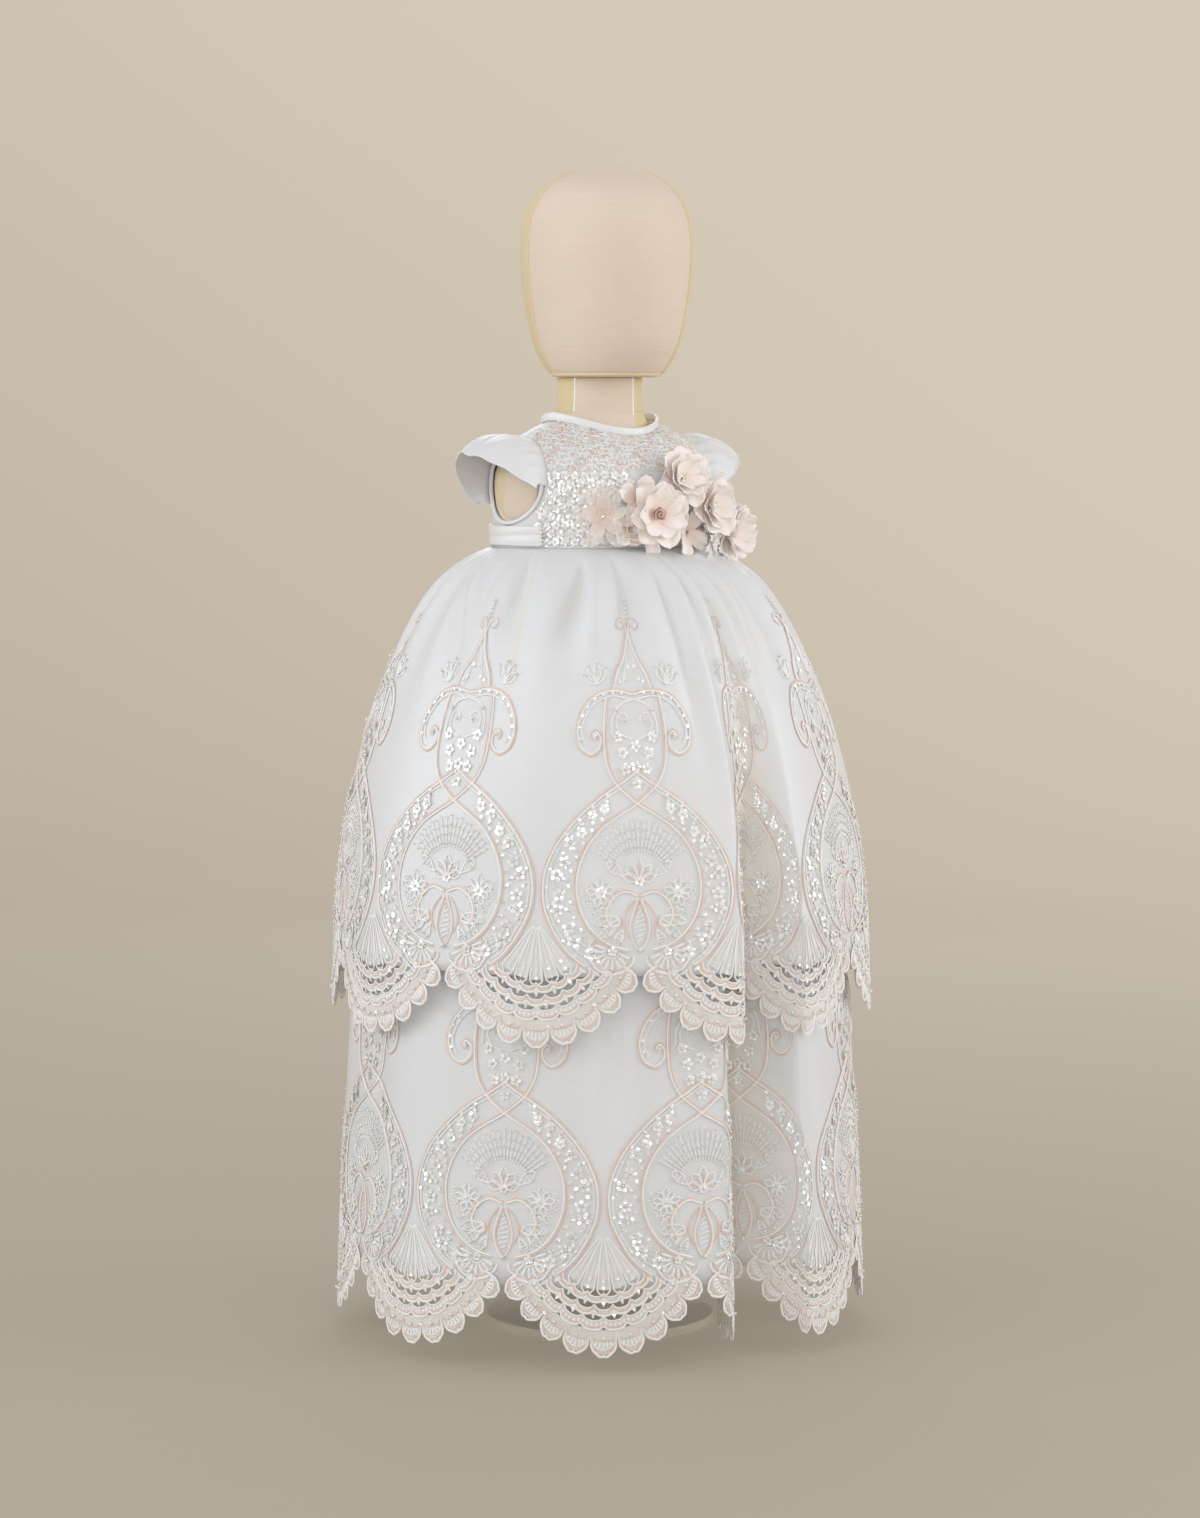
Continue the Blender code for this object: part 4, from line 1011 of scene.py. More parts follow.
def tube(name, path, radius, sides, material, slot, closed=False, lean=(0, 0, 1)):
    """A round cord along a path in metres: at each place a circle across the way of travel."""
    way = np.roll(path, -1, axis=0) - np.roll(path, 1, axis=0) if closed else np.gradient(path, axis=0)
    way = unit(way)
    side = unit(np.cross(way, np.asarray(lean, float)))
    up = np.cross(side, way)
    turn = round_turn(sides)[None, :, None]
    points = path[:, None] + (side[:, None] * np.cos(turn) + up[:, None] * np.sin(turn)) * radius * MM
    faces = grid_quads(len(path), sides, wrap=True, loop=closed)[:, ::-1]
    return put(name, points, faces, material, slot, np.zeros((points.size // 3, 2)))


def paint_spans(piece, columns, rows, spans):
    """Gives the gussets' cloth to a round grid's faces whose middle falls in one of the spans of degrees."""
    piece.data.materials.append(GUSSET)
    middle = np.degrees(np.tile(round_turn(columns) + math.pi / columns, rows - 1)) % 360
    inside = np.any([(middle - start) % 360 < (end - start) % 360 for start, end in spans], axis=0)
    piece.data.polygons.foreach_set("material_index", inside.astype(np.int32))


def closed_body(name, surface, rows_v, columns, gussets=()):
    """A closed linen body: rings of a level surface, closed at each end by a ring drawn in to a point."""
    a, v = np.meshgrid(round_turn(columns), rows_v)
    points = surface(a, v)
    ends = [ring.mean(axis=0) + (ring - ring.mean(axis=0)) * 0.02 for ring in (points[0], points[-1])]
    points = np.concatenate([ends[0][None], points, ends[1][None]])
    rows = len(points)
    uv = grid_uv(round_turn(columns) * 60.0, points[:, 0, 2] / MM, TURN * 60.0)
    piece = put(name, points, grid_quads(rows, columns, wrap=True), LINEN, "linen", uv)
    if gussets:
        paint_spans(piece, columns, rows, gussets)
    close_ends(piece.data, [np.arange(columns)[::-1], np.arange(columns) + (rows - 1) * columns])
    return piece


def close_ends(mesh, caps):
    """Adds one flat face over each end ring."""
    first = len(mesh.polygons)
    loops = len(mesh.loops)
    mesh.loops.add(sum(len(cap) for cap in caps))
    mesh.polygons.add(len(caps))
    for i, cap in enumerate(caps):
        mesh.polygons[first + i].loop_start = loops
        for j, vertex in enumerate(cap):
            mesh.loops[loops + j].vertex_index = int(vertex)
        loops += len(cap)
    mesh.update(calc_edges=True)
    mesh.validate()
    mesh.shade_smooth()


HEAD_LEVELS = np.stack([HEAD[:, 0], 0 * HEAD[:, 0], HEAD[:, 1], HEAD[:, 2]], -1)
HEAD_GUSSETS = ((-60.0, -18.0), (120.0, 162.0))
NECK_GUSSETS = ((120.0, 196.0), (-79.0, -3.0))
# The flare at the neck's root: half width and depth at its foot and how much each draws in, then its foot's
# height, how far the foot rises at the sides, and how tall the flare is
ROOT_WIDE, ROOT_WIDE_IN = 46.0, 11.6
ROOT_DEEP, ROOT_DEEP_IN = 40.8, 5.4
ROOT_Z, ROOT_SIDE_RISE, ROOT_TALL = 710.5, 12.0, 20.0
# An arm cap: its middle forward and up, its half depth, half height and how far it domes out
CAP_Y, CAP_Z = -5.0, 671.0
CAP_DEEP, CAP_TALL, CAP_DOME = 24.0, 24.5, 4.9


def head_surface(angle, v):
    return level_surface(HEAD_LEVELS)(angle, v) + np.array([0, -HEAD_FORWARD, 0]) * MM


def make_form():
    """The dress form: padded linen with golden gussets, and a piped seam along each join."""
    v = np.concatenate([np.linspace(0, 2, 9), np.linspace(2, 9, 36)[1:], np.linspace(9, 11, 12)[1:]])
    head = closed_body("form_head_linen", head_surface, v, 90, HEAD_GUSSETS)
    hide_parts("form_head")
    neck_surface = level_surface(NECK)
    neck = closed_body("form_neck_linen", neck_surface, np.linspace(0, 2, 14), 72, NECK_GUSSETS)
    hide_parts("form_neck")
    torso = closed_body("form_torso_linen", level_surface(TORSO), np.linspace(0, 10, 50), 88)
    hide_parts("form_torso")
    seam = v[3:-6]
    for number, degrees in enumerate(np.ravel(HEAD_GUSSETS)):
        path = off(head_surface, np.radians(degrees) + 0 * seam, seam, 0.2, FINE_STEP)
        tube(f"form_head_piping_{number + 1}", path, 0.9, 8, GUSSET, "linen", lean=(0.3, 1, 0.2))
    rim = head_surface(round_turn(90), 0.9 + np.zeros(90))
    tube("form_jaw_piping", rim, 1.3, 8, GUSSET, "linen", closed=True)
    seam = np.linspace(0.2, 2, 12)
    for number, degrees in enumerate(np.ravel(NECK_GUSSETS)):
        path = off(neck_surface, np.radians(degrees) + 0 * seam, seam, 0.1, FINE_STEP)
        tube(f"form_neck_piping_{number + 1}", path, 0.8, 6, WHITE_CORD, "linen", lean=(0.3, 1, 0))
    rows, columns = 12, 96
    angle, share = np.meshgrid(round_turn(columns), np.linspace(0, 1, rows))
    wide, deep = ROOT_WIDE - ROOT_WIDE_IN * share ** 0.55, ROOT_DEEP - ROOT_DEEP_IN * share ** 0.55
    rise = ROOT_SIDE_RISE * np.cos(angle) ** 2 * (1 - share)
    height = ROOT_Z + rise + ROOT_TALL * share ** 1.4
    root = np.stack([wide * np.cos(angle), deep * np.sin(angle), height], -1)
    piece = put("form_neck_root_linen", root * MM, grid_quads(rows, columns, wrap=True), LINEN, "linen",
                np.stack([angle * 40, share * ROOT_TALL], -1) * UV_PER_MM, wall=1.0)
    paint_spans(piece, columns, rows, NECK_GUSSETS)
    for side, name in ((-1, "right"), (1, "left")):
        make_arm_cap(side, name)


def make_arm_cap(side, name):
    """A low linen dome that closes the form at the armhole, with a golden band across it."""
    out, back = np.linspace(0.02, 1, 12), np.linspace(1, 0.02, 18)
    shares = np.concatenate([out, back])
    domes = np.concatenate([np.zeros(12), CAP_DOME * np.sqrt(1 - back ** 2)])
    turn = round_turn(48)
    y = shares[:, None] * CAP_DEEP * np.cos(turn) + CAP_Y
    z = shares[:, None] * CAP_TALL * np.sin(turn) + CAP_Z
    half_width, half_depth = along(TORSO[:, 0], TORSO[:, 2], z), along(TORSO[:, 0], TORSO[:, 3], z)
    x = half_width * np.sqrt(1 - (y / half_depth) ** 2) + 0.9 + domes[:, None]
    faces = grid_quads(len(shares), 48, wrap=True)
    piece = put(f"form_arm_cap_{name}_linen", np.stack([side * x, y, z], -1) * MM,
                faces[:, ::-1] if side < 0 else faces, LINEN, "linen",
                np.stack([y, z], -1).reshape(-1, 2) * UV_PER_MM)
    band = (y[:-1] > -3.0 + 0.012 * (z[:-1] - CAP_Z) ** 2).ravel()
    piece.data.materials.append(GUSSET)
    piece.data.polygons.foreach_set("material_index", band.astype(np.int32))
    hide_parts(f"form_arm_cap_{name}")


# An armhole: its middle's height, half height and half depth
ARMHOLE_Z, ARMHOLE_TALL, ARMHOLE_DEEP = 674.0, 33.0, 35.0
# Heights of the bodice's levels at its sides, up to the sixth
SIDE_HEIGHTS = [*BODICE[:5, 0], 712.0]
BODICE_FACE = level_surface(BODICE)


def on_face(angle, v, lift):
    """Places on the bodice's face, lifted off it."""
    return off(BODICE_FACE, angle, v, lift, FINE_STEP)


def bodice_level(z, rows):
    """The bodice's level at a height, from the first rows of its table."""
    return along(BODICE[:rows, 0], range(rows), z)


def armhole_curve(degrees, grow, lift):
    """Points round an armhole on the bodice's face at -X, from the front at 0 degrees over the top at 90."""
    turn = np.radians(degrees)
    y = -(ARMHOLE_DEEP + grow) * np.cos(turn)
    z = ARMHOLE_Z + (ARMHOLE_TALL + grow) * np.sin(turn)
    v = along(SIDE_HEIGHTS, range(6), z)
    half_width, half_depth = along(range(8), BODICE[:, 2], v), along(range(8), BODICE[:, 3], v)
    x = -(half_width + lift) * np.sqrt(np.clip(1 - (y / half_depth) ** 2, 0, 1))
    return np.stack([x, y, z], axis=-1) * MM


def armhole_inset(v):
    """How far an armhole's edge lies from the side, as an angle, at each level of the bodice."""
    z = along(range(6), SIDE_HEIGHTS, v)
    share = np.clip(1 - ((z - ARMHOLE_Z) / ARMHOLE_TALL) ** 2, 0, 1)
    half_depth = along(range(8), BODICE[:, 3], v)
    return np.arcsin(np.minimum(ARMHOLE_DEEP * np.sqrt(share) / half_depth, 0.9))


def bodice_grid(first, last, cut_first, cut_last, columns, rows, top=7.0):
    """Angles and levels of a bodice panel, whose cut sides follow the armholes."""
    v = np.linspace(0, top, rows)
    inset = armhole_inset(v)
    start = first + 0.002 + (inset if cut_first else 0)
    end = last - 0.002 - (inset if cut_last else 0)
    share = np.linspace(0, 1, columns)
    angle = np.asarray(start)[..., None] * (1 - share) + np.asarray(end)[..., None] * share
    angle = np.broadcast_to(angle, (rows, columns))
    return angle, np.broadcast_to(v[:, None], (rows, columns))


# Height of each level as measured up the bodice's face from the waist
BODICE_REACH = 624.6 + np.array([0.0, 25.4, 47.4, 63.9, 77.5, 90.9, 100.9, 107.3])


def bodice_place(s, z):
    """Angle and level of a place on the bodice's front, from millimetres across it and up its face."""
    v = along(BODICE_REACH, range(8), z)
    half_width = along(range(8), BODICE[:, 2], v)
    return FRONT + s / (0.93 * half_width), v


def make_bodice():
    """Satin panels on the bodice's solids, drawn in by small gathers above the waist."""
    def face(angle, v):
        base = BODICE_FACE(angle, v)
        tuck = 0.5 * np.exp(-((v / 0.5) ** 2)) * np.cos(70 * angle)
        return base * (1 + tuck[..., None] * MM / 0.09 * np.array([1, 1, 0]))

    rows, quarter = 46, math.pi / 2
    panels = (
        ("bodice_front", -math.pi, 0.0, True, True, 120),
        ("bodice_back_left", 0.0, quarter, True, False, 60),
        ("bodice_back_right", quarter, math.pi, False, True, 60),
    )
    for name, first, last, cut_first, cut_last, columns in panels:
        angle, v = bodice_grid(first, last, cut_first, cut_last, columns, rows)
        points = off(face, angle, v, 0 * v, FINE_STEP)
        uv = np.stack([angle * 90, points[..., 2] / MM], -1) * UV_PER_MM
        # Painted shade: a warm tint in the small gathers just above the waist
        tint_and_painted_light = 0.10 * np.exp(-(v / 0.4) ** 2)
        quads = grid_quads(rows, columns)
        piece = put(name + "_satin", points, quads, SATIN, "satin", uv, {"tint_and_painted_light": tint_and_painted_light}, 0.7)
        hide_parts(name)


# Charts of the bodice: across from the front's middle, and height up its face
# Rows of nested arches at the yoke: height, half span
BODICE_ROWS = ((729.0, 58), (724.2, 72), (719.4, 84), (714.6, 92), (709.8, 98), (705.0, 100), (700.2, 100),
               (695.4, 100), (690.6, 100), (685.8, 98))
# Palmettes: place across, height, petals, petal length
BODICE_RAYS = ((0.0, 640.0, 7, 46.0), (-44.0, 652.0, 7, 34.0), (44.0, 652.0, 7, 34.0))
SWOOP = ((12, 628), (30, 640), (50, 657), (66, 672), (76, 684))


def curl(x, h, radius, degrees, turns=1.35, steps=13, hand=1):
    """A small spiral that opens out at its end."""
    share = np.linspace(0, 1, steps)
    swing = math.radians(degrees) + hand * TURN * turns * share
    reach = radius * (0.18 + 0.82 * share)
    return np.stack([x + reach * np.cos(swing), h + reach * np.sin(swing)], -1)


def bodice_chart():
    """The bodice lace: nested arches at the yoke, three palmettes below, and sequins throughout."""
    chart = Chart(False)
    for row, (z, span) in enumerate(BODICE_ROWS):
        for i, s in enumerate(np.arange(-span + 4.2 * (row % 2), span, 8.4)):
            hand = 1 if (i + row) % 2 else -1
            place = np.array([s, z + 0.7 * math.sin(1.7 * s)])
            swing = np.radians(np.linspace(-15, 205, 12))
            arch = np.stack([1.1 * hand * np.cos(swing), 0.72 * np.sin(swing)], -1)
            chart.cord(place + 4.8 * arch, 1.1, (i + row) % 4 == 1)
            chart.cord(place + 3.1 * arch, 0.9, (i + 2 * row) % 3 == 0)
            chart.cord(curl(place[0], place[1] - 0.2, 1.6, 90 * (i % 4), 1.2, 9, hand), 1.0)
            if i % 2:
                chart.spot(chart.beads, [place - (4.2, 1.4)], 0.8)
    for s, z, count, height in BODICE_RAYS:
        for lean in np.linspace(-52, 52, count):
            petal = teardrop(s, z, 90 + lean, height * (0.78 - 0.0022 * abs(lean)), 3.6)
            chart.cord(petal, 1.4)
            chart.cord(teardrop(s, z + 2, 90 + lean, height * 0.5, 1.8), 1.0, True)
            for share in (0.42, 0.6):
                chart.spot(chart.sequins, [(s, z) + height * share * heading(90 + lean)], 1.5)
        for hand in (-1, 1):
            chart.cord(curl(s + hand * 15, z - 6, 7.5, 90, 1.2, 15, hand), 1.3, True)
            chart.cord(curl(s + hand * 15, z - 6, 5.6, 90, 1.1, 13, hand), 1.2)
    for hand in (-1, 1):
        swoop = smooth_line(np.array(SWOOP) * (hand, 1))
        chart.cord(swoop, 1.2, True)
        chart.cord(beside(swoop, 2.0), 1.4)
        chart.cord(beside(swoop, -8.0), 1.1, True)
    for row, z in enumerate(np.arange(629, 683, 6.4)):
        for s in np.arange(-97, 98, 7.8) + 3.9 * (row % 2):
            if abs(s) > 20:
                chart.rosette(s, z + 0.8 * math.sin(s), 5, 2.35, 1.6)
    for z in np.arange(627, 684, 9.0):
        for s in np.arange(-95, 96, 9.0):
            chart.spot(chart.beads, [(s + 2.2 * math.sin(z), z)], 0.9)
    return chart


def on_bodice(flat, lift, faces):
    """Flat points of the bodice's chart laid on its face, and the faces that stay clear of the armholes."""
    angle, v = bodice_place(flat[:, 0], flat[:, 1])
    room = math.pi / 2 - armhole_inset(np.clip(v, 0, 5)) * (v < 5.2) - 0.035
    away = angle - FRONT
    kept = np.abs(away) <= room
    return on_face(FRONT + np.clip(away, -room, room), v, 0.9 + lift), faces[kept[faces].all(axis=1)]


def make_bodice_lace():
    rows, columns = 40, 90
    angle, v = bodice_grid(-math.pi, 0.0, True, True, columns, rows, 6.6)
    points = on_face(angle, v, 0.5 + 0 * v)
    uv = np.stack([angle * 90, points[..., 2] / MM], -1) * UV_PER_MM
    quads = grid_quads(rows, columns)
    net = put("bodice_lace_net", points, quads, LACE_NET, "lace", uv, {"dense": 0.35 + 0 * v})
    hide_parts("bodice_lace")
    trims = sewn_trims("bodice_lace", [(bodice_chart(), on_bodice)], 0.25, 5)


def make_bindings():
    """The neck band, a rolled strip a little wavy along its edge, and the rolled armhole edges."""
    count, sides = 160, 12
    angle, turn = round_turn(count), round_turn(sides)
    seam = BODICE_FACE(angle, 7.0 + 0 * angle) + np.array([0, 0, 0.7]) * MM
    across = np.stack([np.cos(angle), np.sin(angle), 0 * angle], -1)
    out = 1.2 * np.sign(np.cos(turn)) * np.abs(np.cos(turn)) ** 0.7
    rise = 3.25 + 3.25 * np.sign(np.sin(turn)) * np.abs(np.sin(turn)) ** 0.6
    pucker = 0.25 * np.sin(31 * angle + np.sin(5 * angle))
    points = seam[:, None] + across[:, None] * ((out - 0.4)[None, :, None] + pucker[:, None, None]) * MM
    points = points + np.array([0, 0, 1]) * rise[None, :, None] * MM
    faces = grid_quads(count, sides, wrap=True, loop=True)
    uv = np.stack([np.repeat(angle * 46, sides), np.tile(rise, count)], -1) * UV_PER_MM
    neck = put("neck_band_satin", points, faces[:, ::-1], SATIN_TRIM, "satin", uv,
               {"tint_and_painted_light": 0 * points[..., 0]})
    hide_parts("neck_binding")
    waist = BODICE_FACE(angle, 0 * angle)
    tube("waist_seam_cord", waist, 1.25, 8, SATIN_TRIM, "satin", closed=True)
    for side, name in ((-1, "right"), (1, "left")):
        path = armhole_curve(np.arange(96) * 360 / 96, -1.8, -0.2) * np.array([-side, 1, 1])
        edge = tube(f"armhole_edge_{name}", path, 1.75, 10, SATIN_TRIM, "satin", closed=True, lean=(1, 0, 0))
        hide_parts(f"armhole_binding_{name}")


# A sleeve's seam: where it starts round the armhole and how far it runs, in degrees. Its rim: half width at
# the body and how far it flares, half depth, then its height at the crest, the front end and the back end
SLEEVE_START, SLEEVE_SPAN = -6, 218
RIM_WIDE, RIM_FLARE, RIM_DEEP = 90.0, 43.0, 39.0
RIM_TOP, RIM_FRONT, RIM_BACK = 697.0, 670.0, 655.0


def sleeve_surface(side):
    """A flutter cap: a curve from the armhole over a crest to a flared rim, gathered at the seam."""

    def surface(u, w):
        u, w = np.asarray(u, float), np.asarray(w, float)
        degrees = SLEEVE_START + SLEEVE_SPAN * u
        seam = armhole_curve(degrees, 1.8, 4.3)
        swing = np.radians(-90 + 180 * u)
        ends = np.where(u < 0.5, RIM_FRONT, RIM_BACK)
        out = np.clip(np.cos(swing), 0, 1)
        rim_x, rim_z = -(RIM_WIDE + RIM_FLARE * out ** 0.9), ends + (RIM_TOP - ends) * out ** 1.1
        rim = np.stack([rim_x, RIM_DEEP * np.sin(swing), rim_z], -1) * MM
        crest = 0.5 * (seam + rim)
        crest[..., 0] -= 3.0 * MM * out
        crest[..., 2] += (4.0 + 13.0 * out) * MM
        k = w[..., None]
        point = (1 - k) ** 2 * seam + 2 * k * (1 - k) * crest + k * k * rim
        point = point + (armhole_curve(degrees, 2.6, 0.5) - seam) * (1 - ease(k / 0.05))
        ruffle = 1.1 * np.sin(TURN * 6 * u) * w * (1 - 0.5 * w) * out ** 0.3
        tuck = 1.2 * np.cos(TURN * 15 * u + 1.5 * np.sin(TURN * 2 * u)) * np.exp(-w / 0.42) * ease(w / 0.08)
        fold = 1.5 * np.exp(-(((u - 0.36 - 0.10 * w) / 0.035) ** 2)) * ease(w / 0.2) * (1 - 0.7 * w)
        fold = fold - 1.2 * np.exp(-(((u - 0.60 + 0.05 * w) / 0.05) ** 2)) * ease(w / 0.2)
        point[..., 2] += (ruffle + tuck - fold) * MM
        return point * np.array([-side, 1, 1])

    return surface


def make_sleeves():
    along_rim, out = np.linspace(0.015, 0.985, 110), np.append([0, 0.012, 0.025], np.linspace(0.045, 1, 25))
    u, w = np.meshgrid(along_rim, out)
    for side, name in ((-1, "right"), (1, "left")):
        surface = sleeve_surface(side)
        points = surface(u, w)
        faces = grid_quads(len(out), len(along_rim))
        faces = faces[:, ::-1] if side > 0 else faces
        uv = np.stack([u * 150, w * 50], -1) * UV_PER_MM
        # Painted shade: a warm tint in the gathers along the sleeve's seam
        tint_and_painted_light = 0.12 * np.exp(-w / 0.10)
        piece = put(f"sleeve_{name}_satin", points, faces, SATIN, "satin", uv, {"tint_and_painted_light": tint_and_painted_light}, 0.6)
        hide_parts(f"sleeve_{name}")
        hem = surface(along_rim, 0.99 + 0 * along_rim)
        hem_cord = tube(f"sleeve_{name}_hem", hem, 0.75, 8, SATIN_TRIM, "satin")


SASH_END = math.radians(27)
SASH_LOW, SASH_TOP, SASH_WIDTH = 625.6, 641.0, 15.4


def make_sash():
    """The sash: satin in lengthwise folds, which are sines across the width that drift round the back."""
    rows, columns = 26, 150
    angle = np.linspace(-SASH_END, math.pi + SASH_END, columns)
    a, h = np.meshgrid(angle, np.linspace(SASH_LOW, SASH_TOP, rows))
    share = (h - SASH_LOW) / SASH_WIDTH
    ripple = 0.8 * np.abs(np.sin(math.pi * (2.0 * share + 0.12 * np.sin(3 * a))))
    ripple = ripple + 0.3 * np.sin(40 * a) * share * (1 - share)
    points = on_face(a, bodice_level(h, 3), 3.0 + ripple)
    uv = np.stack([a * WAIST_HALF_WIDTH, h], -1) * UV_PER_MM
    # Painted shade: a warm tint in the troughs of the sash's folds
    sash = put("waist_sash_satin", points, grid_quads(rows, columns), SATIN_TRIM, "satin", uv,
               {"tint_and_painted_light": 0.15 * (ripple < 0.25)}, 0.9)
    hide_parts("waist_sash")
    levels = [bodice_level(SASH_LOW + 1.9 + 3 * i, 3) for i in range(5)]
    ends = [on_face(at, v, 4.6) for at in (-SASH_END, math.pi + SASH_END) for v in levels]
    beads = ball_arrays(np.array(ends), np.full(len(ends), 1.5), 8, 5)
    row = put("sash_end_beads", *beads, BEADS, "lace")


def ball_arrays(centres, radii, sides, rings):
    """Round beads at places in metres: rings of a sphere at even angles, with one point at each pole."""
    swing = np.linspace(0, math.pi, rings + 2)[1:-1]
    ball = turned(np.stack([np.sin(swing), np.cos(swing)], -1), sides).reshape(-1, 3)
    ball = np.concatenate([ball, [[0, 0, 1], [0, 0, -1]]])
    c = np.arange(sides)
    d = (c + 1) % sides
    top, low, last = rings * sides, rings * sides + 1, (rings - 1) * sides
    crown = np.stack([c, d, np.full(sides, top)], -1)
    foot = np.stack([last + d, last + c, np.full(sides, low)], -1)
    tris = np.concatenate([triangles(grid_quads(rings, sides, wrap=True))[:, ::-1], crown, foot])
    points = centres[:, None] + ball[None] * (np.asarray(radii)[:, None, None] * MM)
    faces = tris[None] + np.arange(len(centres))[:, None, None] * len(ball)
    return points.reshape(-1, 3), faces.reshape(-1, 3)


# A covered button's outline: share of the radius and height off the seat, from the underside to the crown
BUTTON_CAP = np.array([
    (0.02, 0.0), (0.80, 0.0), (0.98, 0.5), (1.0, 1.1), (0.9, 2.0), (0.62, 2.7), (0.3, 2.98), (0.02, 3.05),
])
BUTTON_RADIUS, BUTTON_TOP_Z, BUTTON_STEP = 4.6, 694.0, 24.0


def make_buttons():
    """Covered buttons: a dome with the cloth gathered under its rim."""
    turn = round_turn(28)
    angle = math.pi / 2 - 6.0 / 70.0
    reach = BUTTON_CAP[:, 0, None] * BUTTON_RADIUS * (1 + 0.03 * np.cos(14 * turn))
    rows = len(BUTTON_CAP)
    uv = np.stack([np.tile(turn * 4, (rows, 1)), np.tile(BUTTON_CAP[:, :1] * 5, (1, 28))], -1) * UV_PER_MM
    for i in range(3):
        v = bodice_level(BUTTON_TOP_Z - BUTTON_STEP * i, 6)
        seat = on_face(angle, v, 0.3)
        out = unit(on_face(angle, v, 1.3) - seat)
        side = unit(np.cross(UP, out))
        ring = np.cos(turn)[:, None] * side + np.sin(turn)[:, None] * np.cross(out, side)
        points = seat + (ring[None] * reach[..., None] + out * BUTTON_CAP[:, 1, None, None]) * MM
        button = put(f"covered_button_{i + 1}", points, grid_quads(rows, 28, wrap=True), SATIN_TRIM, "satin",
                     uv, {"tint_and_painted_light": 0 * points[..., 0]})
        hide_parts(f"back_button_{i + 1}")


GOLDEN_ANGLE = 2.39996
# Blooms of the corsage: name, node it stands for, place across the front, height, distance of the heart from
# the bodice, tilt right, tilt up, petals, petal length and width, cup, layers
PETAL_BLOOMS = (
    ("main", "corsage_bloom_main", -8, 650, 12, -0.15, 0.10, 7, 28, 22, 0.34, 1),
    ("upper", "corsage_bloom_upper", 17, 676, 8, -0.15, 0.15, 7, 25, 21, 0.42, 2),
    ("pearl", "corsage_bloom_pearl", 42, 655, 17, -0.25, 0.20, 6, 25, 22, 0.40, 2),
    ("side", "corsage_bloom_side", 66, 636, 20, -0.35, -0.05, 7, 26, 22, 0.50, 2),
)


def petal_material(name, pale, deep, sheer=False):
    """Organza petals: pale at the rim and deeper at the root, from a value on the piece's points, with fine
    ribs.
    """
    made, tree, shader, places = start_material(name, 0.5, Sheen_Weight=0.3)
    root, ribs = attribute(tree, "tint_and_painted_light"), weave(tree, places, 300.0, 1.4)
    tone = drift(tree, places, 60.0, pale, (0.95, 0.88, 0.84))
    feed(tree, shader["Base Color"], blend_node(tree, root, tone, deep))
    bump_to(tree, shader, ribs["Height"], 0.3, 0.0004)
    if sheer:
        cover = math_node(tree, "MULTIPLY", ribs["Slub"], 0.5)
        thick = math_node(tree, "MULTIPLY_ADD", root, 0.4, cover, clamp=True)
        feed(tree, shader["Alpha"], math_node(tree, "ADD", thick, 0.25, clamp=True))
    return made


PETALS = petal_material("organza_petals", PETAL_PALE, (0.95, 0.74, 0.63))
PETAL_HEART = petal_material("rolled_heart", (0.80, 0.50, 0.42), PETAL_DEEP)
PETAL_SHEER = petal_material("sheer_petals", (0.95, 0.87, 0.81), (0.90, 0.70, 0.59), True)
PETAL_WHITE = petal_material("white_petals", (0.93, 0.92, 0.91), (0.90, 0.84, 0.80))


def bloom_axes(side, height, out, lean_right, lean_up):
    """Where a bloom sits: its middle, and its right, up and outward directions."""
    angle, v = FRONT + math.asin(side / WAIST_HALF_WIDTH), bodice_level(height, 5)
    seat = on_face(angle, v, 0.0)
    normal = unit(on_face(angle, v, 1.0) - seat)
    right = unit(np.cross(UP, normal))
    up = np.cross(normal, right)
    ahead = unit(normal + lean_right * right + lean_up * up)
    right = unit(np.cross(up, ahead))
    return seat + normal * out * MM, right, np.cross(ahead, right), ahead


def from_heart(axes, reach, swing, rise):
    """A place round a bloom's heart, from its reach and angle about the heart and its rise off it."""
    middle, right, up, ahead = axes
    return middle + (reach * math.cos(swing) * right + reach * math.sin(swing) * up + rise * ahead) * MM


